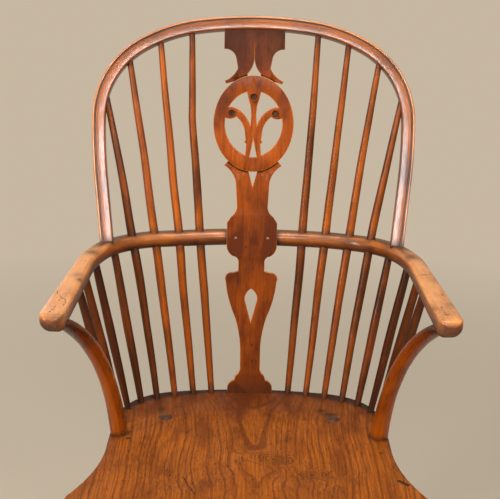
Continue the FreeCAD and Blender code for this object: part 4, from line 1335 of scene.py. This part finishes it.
def short_stations(side, foot_xy, arm_xy, seed):
    foot = Vector((side * foot_xy[0], foot_xy[1], seat_level(foot_xy[1])))
    head = Vector((side * arm_xy[0], arm_xy[1], ARM_TOP - ARM_THICK))
    heading = (head - foot).normalized()
    reach = (head - foot).length
    stations = []
    for index in range(-1, SHORT_STEPS + 2):
        part = index / SHORT_STEPS
        point = foot + heading * reach * part
        inside = min(max(part, 0), 1)
        width = shaved(turned_width(inside, SHORT_BELLY_SHARE, SHORT_HEAD), point, seed)
        matrix = stick_frame(point + wobble(point, seed, 0.9), heading)
        stations.append((matrix, round_section(width, width)))
    return stations


print("stations", LONG_STEPS + 2, "and", SHORT_STEPS + 3)

# %% [markdown]
# The fronts of the spindles, and less so their backs, are painted bright, partly as wear from backs
# and sleeves and partly as a painted highlight, so that each shows as a bright line between two
# darker sides. Some sticks are much darker than others, and the short ones under the arms are
# darkest of all.

# %% Finish, with painted highlights, and make the spindles
LONG_TONES = {"left": (0.25, -0.1, -0.3, 0.75), "right": (0.4, 0.0, 0.2, 0.45)}
SHORT_TONES = {"left": (0.5, 1.0, 0.6, 0.8), "right": (0.5, 0.9, 0.5, 0.6)}
LONG_RUB_AND_HIGHLIGHT = 0.85
SHORT_RUB_AND_HIGHLIGHT = 0.45
BELOW_ARMS = 0.25


def spindle_grime(spot, grain):
    """Dark at the seat, under and over the arm bow, and at the top bow."""
    seat = fade_out(max(0.0, spot.z - SEAT_HEIGHT - 3), 9)
    arm = 0.8 * fade_out(min(abs(spot.z - ARM_TOP), abs(spot.z - ARM_TOP + ARM_THICK)), 7)
    return max(0.8 * seat, arm)


def rubbed_and_highlit_faces(bm, tone, strength):
    """Fronts and backs get wear and painted highlight. A dark stick keeps more of its wax."""
    kept = strength * (1 - 0.8 * max(0.0, tone))

    def rub_and_highlight(spot, grain):
        facing = grain.xy.normalized().y
        # Painted highlight, with wear, down the front of each stick and weaker at the back.
        bright = max(span_of(-facing, 0.25, 1.0), 0.55 * span_of(facing, 0.1, 0.8))
        return kept * bright * (1 - 0.35 * span_of(ARM_TOP - spot.z, 20, 40))

    paint(bm, "wear_and_highlight", rub_and_highlight)


def stick_tone(tone, seed):
    """How dark a stick is, a little different along its length."""
    def tone_at(spot, grain):
        drift = 0.5 * noise.noise(Vector((seed * 3.7, 0, spot.z / 80)))
        return tone + BELOW_ARMS * span_of(ARM_TOP - spot.z, 20, 40) + drift

    return tone_at


def finish_spindle(bm, label, tone, grime_and_shade, seed):
    paint(bm, "grime_and_shade", grime_and_shade)
    paint(bm, "tone", stick_tone(tone, seed))
    finish_piece(bm, "shaved_" + label, [label], spindle_wood)


def grime_below(top):
    """Dirt of a spindle that ends in the top bow at some height."""
    return lambda spot, grain: max(spindle_grime(spot, grain), 0.7 * fade_out(top - spot.z, 10))


seed = 0
for name, side in SIDES:
    for number, spots in enumerate(LONG_SPINDLES, start=1):
        seed += 1
        tone = LONG_TONES[name][number - 1]
        bm = skin(long_stations(side, *spots, seed))
        rubbed_and_highlit_faces(bm, tone, LONG_RUB_AND_HIGHLIGHT)
        shift_grain(bm, (0.013 * seed, 0.007 * seed, 0.61 * seed))
        top = (HOOP_PLACE @ Vector((0, spots[2][1] - 12, 0))).z
        finish_spindle(bm, f"long_spindle_{name}_{number}", tone, grime_below(top), seed)
    for number, spots in enumerate(SHORT_SPINDLES, start=1):
        seed += 1
        tone = SHORT_TONES[name][number - 1]
        bm = skin(short_stations(side, *spots, seed))
        rubbed_and_highlit_faces(bm, tone, SHORT_RUB_AND_HIGHLIGHT)
        shift_grain(bm, (0.011 * seed, 0.009 * seed, 0.47 * seed))
        finish_spindle(bm, f"short_spindle_{name}_{number}", tone, spindle_grime, seed)

# %% [markdown]
# The arm posts are bent like a shepherd's crook. They rise from the seat's edge round and stout,
# lean forward and out, and flatten until they lie under the hands. The bend is one arc, and the
# section changes from a circle to a broad oval as it goes. The top is cut off level just inside
# the hand, so that the two meet without a gap.

# %% Lines of the arm posts
POST_FOOT = (197, -188)
POST_AIM = (271, -400)
POST_WIDTH = 26
POST_BEND = 337
POST_START = math.radians(12)
POST_END = math.radians(68)
POST_ACROSS = ((0, 1), (0.25, 0.93), (0.5, 0.9), (0.72, 0.96), (0.88, 1.06), (1, 1.1))
POST_DEEP = ((0, 1), (0.25, 0.92), (0.5, 0.86), (0.72, 0.76), (0.88, 0.64), (1, 0.56))
POST_SUNK = 3
POST_STEPS = 60
POST_OVERLAP = 2


def post_stations(side):
    foot = Vector((side * POST_FOOT[0], POST_FOOT[1], seat_level(POST_FOOT[1])))
    out = Vector((side * (POST_AIM[0] - POST_FOOT[0]), POST_AIM[1] - POST_FOOT[1], 0)).normalized()
    across = UP.cross(out)
    stations = []
    for index in range(POST_STEPS + 1):
        part = index / POST_STEPS
        lean = POST_START + (POST_END - POST_START) * part
        along = POST_BEND * (math.cos(POST_START) - math.cos(lean))
        rise = POST_BEND * (math.sin(lean) - math.sin(POST_START))
        heading = out * math.sin(lean) + Vector((0, 0, math.cos(lean)))
        point = foot + out * along + Vector((0, 0, rise))
        width = shaved(POST_WIDTH * between(part, POST_ACROSS), point, 31 + side)
        depth = shaved(POST_WIDTH * between(part, POST_DEEP), point, 37 + side)
        matrix = frame_at(point, across, heading.cross(across))
        stations.append((matrix, round_section(width, depth, 32)))
    first, section = stations[0]
    sunk = first.copy()
    sunk.translation = first.translation - first.col[2].to_3d() * POST_SUNK
    return [(sunk, section)] + stations


print("posts bend through", round(math.degrees(POST_END - POST_START)), "degrees")

# %% [markdown]
# Each post is skinned, cut off level inside the hand, and painted. The cut comes before the dirt
# and painted shade go on, so that the new points are painted too.

# %% Arm posts
def post_wear(spot, grain):
    """Knees and hands rub the posts bright, except under the hands."""
    return 0.5 * (1 - span_of(spot.z, 560, 650))


def post_grime_and_shade(spot, grain):
    """Dirt at the seat, and painted shade just under the hands."""
    foot = 0.85 * fade_out(spot.z - seat_level(POST_FOOT[1]), 4)
    # Painted shade on the post just below the hand.
    return max(foot, 0.75 * fade_out(ARM_TOP - ARM_THICK - spot.z, 12))


for name, side in SIDES:
    bm = skin(post_stations(side))
    paint(bm, "wear_and_highlight", post_wear)
    shift_grain(bm, (0.05 + 0.02 * side, 0.01, 0.8 * side))
    slice_off(bm, (0, 0, ARM_TOP - ARM_THICK + POST_OVERLAP), UP)
    paint(bm, "grime_and_shade", post_grime_and_shade)
    paint(bm, "tone", lambda spot, grain: 0.35 * span_of(spot.z, 600, 670) - 0.15)
    label = "arm_post_" + name
    finish_piece(bm, "bent_" + label, [label], spindle_wood)

# %% [markdown]
# The seat is an inch and a half of elm, sawn to a bell and hollowed with an adze and a scraper.
# It is skinned from closed rings, like the sticks, but here the rings grow from the middle of
# the underside out to the edge, turn over it, and shrink again to the middle of the top. On top
# their heights follow three shallow bowls, one for the back of the sitter and one for each
# thigh, which leaves a low ridge between the knees.

# %% The seat's outline
SEAT_ARCS = ((520, 13.9), (105, 82), (826, 90))
SEAT_REAR = 17
SEAT_WAIST_Y = -235
SEAT_FLARE = (-450, 67)
SEAT_CORNER = (26, 176)
FRONT_STEPS = 32


def seat_outline():
    """Points of the seat's edge, right half from the rear and then the left half back to it."""
    walk = bow_walk(SEAT_REAR, SEAT_ARCS, 5)
    walk = straight_on(walk, walk[-1][0].y - SEAT_WAIST_Y, 6)
    point, heading = walk[-1]
    for radius, end in (SEAT_FLARE, SEAT_CORNER):
        centre = point - radius * outward(heading)
        count = round(abs(radius * math.radians(end - heading)) / 5)
        for index in range(1, count + 1):
            angle = heading + (end - heading) * index / count
            walk.append((centre + radius * outward(angle), angle))
        point = walk[-1][0]
        heading = end
    front_radius = point.x / math.sin(math.radians(180 - heading))
    centre = point - front_radius * outward(heading)
    for index in range(1, FRONT_STEPS + 1):
        angle = heading + (180 - heading) * index / FRONT_STEPS
        walk.append((centre + front_radius * outward(angle), angle))
    return mirrored([(spot.x, spot.y) for spot, _ in walk])


print("seat outline", len(seat_outline()), "points")

# %% [markdown]
# A ring is the outline moved in along its own normals and set at a height. The underside is flat,
# with a bevel at the edge, and the rings of the top follow the bowls. The bowls are added as high
# powers, which keeps each one round and runs them softly into each other.

# %% The seat's rings
SEAT_THICK = 42
SEAT_ROUND = 6
SEAT_BEVEL = 11
SEAT_EDGE = (
    (11, -42), (10.2, -41.6), (5, -36), (1, -31.8), (0.2, -30.6), (0, -29), (0, -18),
)
SEAT_MIDDLE = Vector((0, -225))
# Middle across and along, and half size across and along
BOWLS = ((0, -175, 156, 98), (-94, -275, 90, 130), (94, -275, 90, 130))
BOWL_DEPTH = 8.5
TOP_RINGS = 44


def bowl_depth(x, y):
    """Depth of the hollowed seat, with the three bowls run softly into each other."""
    total = 0.0
    for middle_x, middle_y, across, along in BOWLS:
        reach = 1 - ((x - middle_x) / across) ** 2 - ((y - middle_y) / along) ** 2
        total += max(0.0, reach) ** 4
    return BOWL_DEPTH * total ** 0.25 * min(1.0, total ** 0.25 * 2.2)


def inset_ring(outline, amount):
    """Move a closed outline inwards along its own normals."""
    ring = []
    count = len(outline)
    for index in range(count):
        before = Vector(outline[index - 1])
        after = Vector(outline[(index + 1) % count])
        along = (after - before).normalized()
        ring.append(Vector(outline[index]) + Vector((along.y, -along.x)) * amount)
    return ring


def seat_rings():
    """Rings of the seat's skin as lists of points, from the middle below to the middle above."""
    edge = seat_outline()
    rings = []

    def shrunk(ring, share, height_at):
        spots = [SEAT_MIDDLE + (spot - SEAT_MIDDLE) * share for spot in ring]
        return [Vector((spot.x, spot.y, height_at(spot))) for spot in spots]

    lower = inset_ring(edge, SEAT_BEVEL)
    for share in (0.01, 0.35, 0.7, 0.93):
        rings.append(shrunk(lower, share, lambda spot: -SEAT_THICK))
    for inset, height in SEAT_EDGE:
        rings.append(shrunk(inset_ring(edge, inset), 1, lambda spot: height))
    for inset, drop in arc_points(SEAT_ROUND, -SEAT_ROUND, SEAT_ROUND, 180, 90, 6):
        rings.append(shrunk(inset_ring(edge, inset), 1, lambda spot: drop))
    upper = inset_ring(edge, SEAT_ROUND)
    for index in range(1, TOP_RINGS):
        share = 1 - index / TOP_RINGS
        rings.append(shrunk(upper, share, lambda spot: -bowl_depth(spot.x, spot.y)))
    return rings


print("deepest", round(bowl_depth(0, -175), 1), "mm")

# %% [markdown]
# The grid is laid on the rings, and the wood coordinates follow the board. Dirt fills the corner
# behind the spindles, where no cloth reaches, and rings their feet.

# %% Seat
# Where the dirt behind the spindles starts, across and along
DIRT_LINE = ((0, -1), (62.5, -3), (149.5, -38), (173.5, -58), (192.5, -88), (203, -150))
SEAT_SOCKETS = [spots[0] for spots in LONG_SPINDLES + SHORT_SPINDLES]


def lay_rings(rings):
    """Wrap a grid round rings of points, cap its ends, and give it wood coordinates."""
    sides = len(rings[0])
    rows = len(rings) - 1
    bm = bmesh.new()
    bmesh.ops.create_grid(bm, x_segments=sides, y_segments=rows, size=1)
    for vert in bm.verts:
        row = round((vert.co.y + 1) * rows / 2)
        vert.co = rings[row][round((vert.co.x + 1) * sides / 2) % sides]
    bmesh.ops.remove_doubles(bm, verts=bm.verts, dist=MERGE)
    cap_ends(bm)
    bmesh.ops.recalc_face_normals(bm, faces=bm.faces)
    board_grain(bm)
    return bm


def seat_grime(spot, grain):
    """Dust and wax lie behind the spindles, round their feet and round the posts."""
    x = abs(spot.x)
    line = between(x, DIRT_LINE)
    on_top = span_of(spot.z, -9, -4)
    behind = on_top * span_of(spot.y - line, -6, 5) * span_of(spot.y, -165, -140)
    gap = min(math.hypot(x - foot_x, spot.y - foot_y) for foot_x, foot_y in SEAT_SOCKETS)
    socket = on_top * fade_out(gap, 9)
    post_gap = math.hypot(x - POST_FOOT[0], spot.y - POST_FOOT[1]) - POST_WIDTH / 2
    post = fade_out(max(0.0, post_gap), 5)
    under = 0.4 * span_of(-spot.z, 25, 40)
    return max(behind, 0.9 * socket, 0.9 * post, under)


def seat_tone(spot, grain):
    """The back of the seat's top is darkest."""
    return 1.1 * span_of(spot.y, -190, -20) * span_of(spot.z, -30, -8) - 0.1


bm = lay_rings(seat_rings())
paint(bm, "grime_and_shade", seat_grime)
paint(bm, "tone", seat_tone)
finish_piece(bm, "saddled_seat", ["seat"], elm, CHAIR @ SEAT_PLACE)

# %% [markdown]
# Legs and stretchers are turned on a lathe, and spinning a profile about an axis is the same
# work. A profile is a run of radii up the leg: a foot, a vase, a ring, a swelling and the tenon.
# It is drawn with arcs, as the splat's outlines are.

# %% Turning
LEG_TOPS = {"front": (163, -362), "rear": (131, -119)}
LEG_FEET = {"front": (205, -418), "rear": (186, 26)}
LEG_SPARE = 14
STRETCHER_HEIGHT = 172


def leg_profile(shoulder, end):
    """Radius and height pairs: foot, vase, ring, upper swelling and tenon."""
    steps = [
        ((15, 26), (10, 46)),
        ((12, 50),),
        ((16, 118), (18, 186)),
        ((17, 222), (12.5, 248)),
        ((12.5, 252),),
        ((19, 259), (12.5, 266)),
        ((12.5, 270),),
        ((18, 312), (14.5, shoulder - 18)),
        ((12.5, shoulder - 2),),
        ((11, shoulder),),
        ((11, end),),
    ]
    return trace((12, 0), steps, 4)


def upright_grain(bm):
    """Wood coordinates of a piece that stands upright as it is made."""
    grain = bm.verts.layers.float_vector.new("grain")
    for vert in bm.verts:
        vert[grain] = vert.co * MM


def turn_profile(profile, sides=48):
    """Spin radius and height pairs about Z, close the ends and give wood coordinates."""
    bm = bmesh.new()
    verts = [bm.verts.new((radius, 0, height)) for radius, height in profile]
    for first, second in zip(verts, verts[1:]):
        bm.edges.new((first, second))
    spin_round(bm, sides)
    upright_grain(bm)
    return bm


def leg_ends(row, side):
    """Where a leg's axis meets the floor and the seat's top."""
    foot_x, foot_y = LEG_FEET[row]
    top_x, top_y = LEG_TOPS[row]
    return Vector((side * foot_x, foot_y, 0)), Vector((side * top_x, top_y, seat_level(top_y)))


def along_axis(start, end):
    """Matrix that sets a turned piece on a line, with its lower end at the start."""
    turn = (end - start).to_track_quat("Z", "Y").to_matrix().to_4x4()
    return Matrix.Translation(start) @ turn


def leg_grime(spot, grain):
    """Scuffed at the foot, and dark at the seat's underside."""
    return max(0.6 * fade_out(spot.z, 25), 0.8 * span_of(spot.z, 425, 441))


print("leg profile", len(leg_profile(400, 440)), "points")

# %% [markdown]
# A leg is turned longer than it shows, set on the line from floor to seat, and sliced off at the
# floor. The rear tenons come through the seat and are sliced just above it.

# %% Legs
TENON_SHOWING = 0.4
seat_normal = SEAT_PLACE.to_3x3() @ UP
for row in LEG_TOPS:
    for name, side in SIDES:
        foot, top = leg_ends(row, side)
        axis = (top - foot).normalized()
        reach = (top - foot).length + LEG_SPARE
        end = reach + 12 if row == "rear" else reach - 12
        bm = turn_profile(leg_profile(reach - SEAT_THICK / axis.z, end))
        shift_grain(bm, (0.03 * side, 0.02, 0.5 * side + len(row) * 0.3))
        bm.transform(along_axis(foot - axis * LEG_SPARE, top))
        slice_off(bm, (0, 0, 0), (0, 0, -1))
        if row == "rear":
            slice_off(bm, top + seat_normal * TENON_SHOWING, seat_normal)
        paint(bm, "grime_and_shade", leg_grime)
        paint(bm, "tone", lambda spot, grain: 0.1)
        label = f"leg_{row}_{name}"
        finish_piece(bm, "turned_" + label, [label], leg_wood)

# %% [markdown]
# Stretchers are spun in the same way, thickest in the middle, and run between the legs at one
# height. The cross stretcher joins the middles of the side stretchers.

# %% Stretchers
def stretcher_profile(length, thin, thick):
    swell = thin + (thick - thin) * 0.78
    quarter = length / 4 + 6
    steps = [((thin, 12),), ((swell, quarter), (thick, length / 2))]
    steps += [((swell, length - quarter), (thin, length - 12)), ((thin, length),)]
    return trace((thin, 0), steps, 6)


def leg_at(row, side, height):
    foot, top = leg_ends(row, side)
    return foot.lerp(top, height / top.z)


def add_stretcher(label, first, last, sunk, thin, thick, offset):
    axis = (last - first).normalized()
    start = first + axis * sunk
    length = (last - first).length - 2 * sunk
    bm = turn_profile(stretcher_profile(length, thin, thick))
    shift_grain(bm, (offset, 0.03, offset * 7))
    bm.transform(along_axis(start, last))

    def joint_grime(spot, grain):
        nearest = min((spot - first).length, (spot - last).length)
        return 0.5 * fade_out(nearest - 16, 10)

    paint(bm, "grime_and_shade", joint_grime)
    paint(bm, "tone", lambda spot, grain: 0.05)
    finish_piece(bm, "turned_" + label, [label], leg_wood)


rail_middles = []
for name, side in SIDES:
    front = leg_at("front", side, STRETCHER_HEIGHT)
    rear = leg_at("rear", side, STRETCHER_HEIGHT)
    add_stretcher("side_stretcher_" + name, front, rear, 6, 7, 13, 0.05 * side)
    rail_middles.append((front + rear) / 2)
add_stretcher("cross_stretcher", *rail_middles, 4, 6, 12, 0.09)

# %% [markdown]
# Small pegs pin the splat to the arm bow, the top bow to its spindles and the hands to their
# posts. Time leaves such pegs standing a hair above the wood, so each is a short spun pin with a
# low dome.

# %% Pegs
PEG_LENGTH = 6


def peg_profile(radius, proud):
    """Radius and height pairs of a pin with a domed end, its face at nought."""
    angles = [math.radians(15 * step) for step in range(6)]
    dome = [(radius * math.cos(angle), proud * math.sin(angle)) for angle in angles]
    return [(radius, -PEG_LENGTH)] + dome


def peg_group(name, node_name, pegs, material):
    """One mesh of several pegs, each a place, a radius and how proud it stands."""
    group = bmesh.new()
    for place, radius, proud in pegs:
        bm = turn_profile(peg_profile(radius, proud), 20)
        bm.transform(place)
        part = bpy.data.meshes.new("peg")
        bm.to_mesh(part)
        bm.free()
        group.from_mesh(part)
        bpy.data.meshes.remove(part)
    paint(group, "grime_and_shade", lambda spot, grain: 0.2)
    paint(group, "tone", lambda spot, grain: 0.2)
    finish_piece(group, name, [node_name], material)


splat_pegs = []
bow_pegs = []
hand_pegs = []
for _, side in SIDES:
    splat_pegs.append((SPLAT_PLACE @ Matrix.Translation((side * 26, 254, SPLAT_HALF)), 2.5, 0.7))
    bow_pegs.append((HOOP_PLACE @ Matrix.Translation((side * 102, 343, 10)), 2.3, 0.5))
    for x, y in ((259, -338), (260, -362)):
        hand_pegs.append((Matrix.Translation((side * x, y, ARM_TOP - 0.4)), 1.6, 0.2))
peg_group("splat_peg_pair", "splat_pegs", splat_pegs, pale_peg_wood)
peg_group("bow_peg_pair", "top_bow_pegs", bow_pegs, pale_peg_wood)
peg_group("hand_peg_group", "hand_pegs", hand_pegs, peg_wood)

# %% [markdown]
# A wedge is a thin block with eased edges, driven into the end of a rear tenon across its grain.
# It is too small to need more than a scaled cube with a bevel.

# %% Wedges
WEDGE_SIZE = (20, 3, 12)
WEDGE_PROUD = 0.8
group = bmesh.new()
for _, side in SIDES:
    foot, top = leg_ends("rear", side)
    made = bmesh.ops.create_cube(group, size=1)
    bmesh.ops.scale(group, vec=WEDGE_SIZE, verts=made["verts"])
    lift = Matrix.Translation(top - seat_normal * (WEDGE_SIZE[2] / 2 - WEDGE_PROUD))
    tilt = Matrix.Rotation(-SEAT_TILT, 4, "X")
    bmesh.ops.transform(group, matrix=lift @ tilt, verts=made["verts"])
easing = {"offset": 0.35, "segments": 2, "profile": 0.5, "affect": "EDGES", "material": -1}
bmesh.ops.bevel(group, geom=list(group.edges), **easing)
upright_grain(group)
paint(group, "grime_and_shade", lambda spot, grain: 0.5)
paint(group, "tone", lambda spot, grain: 0.3)
finish_piece(group, "tenon_wedges", ["leg_wedges"], peg_wood)
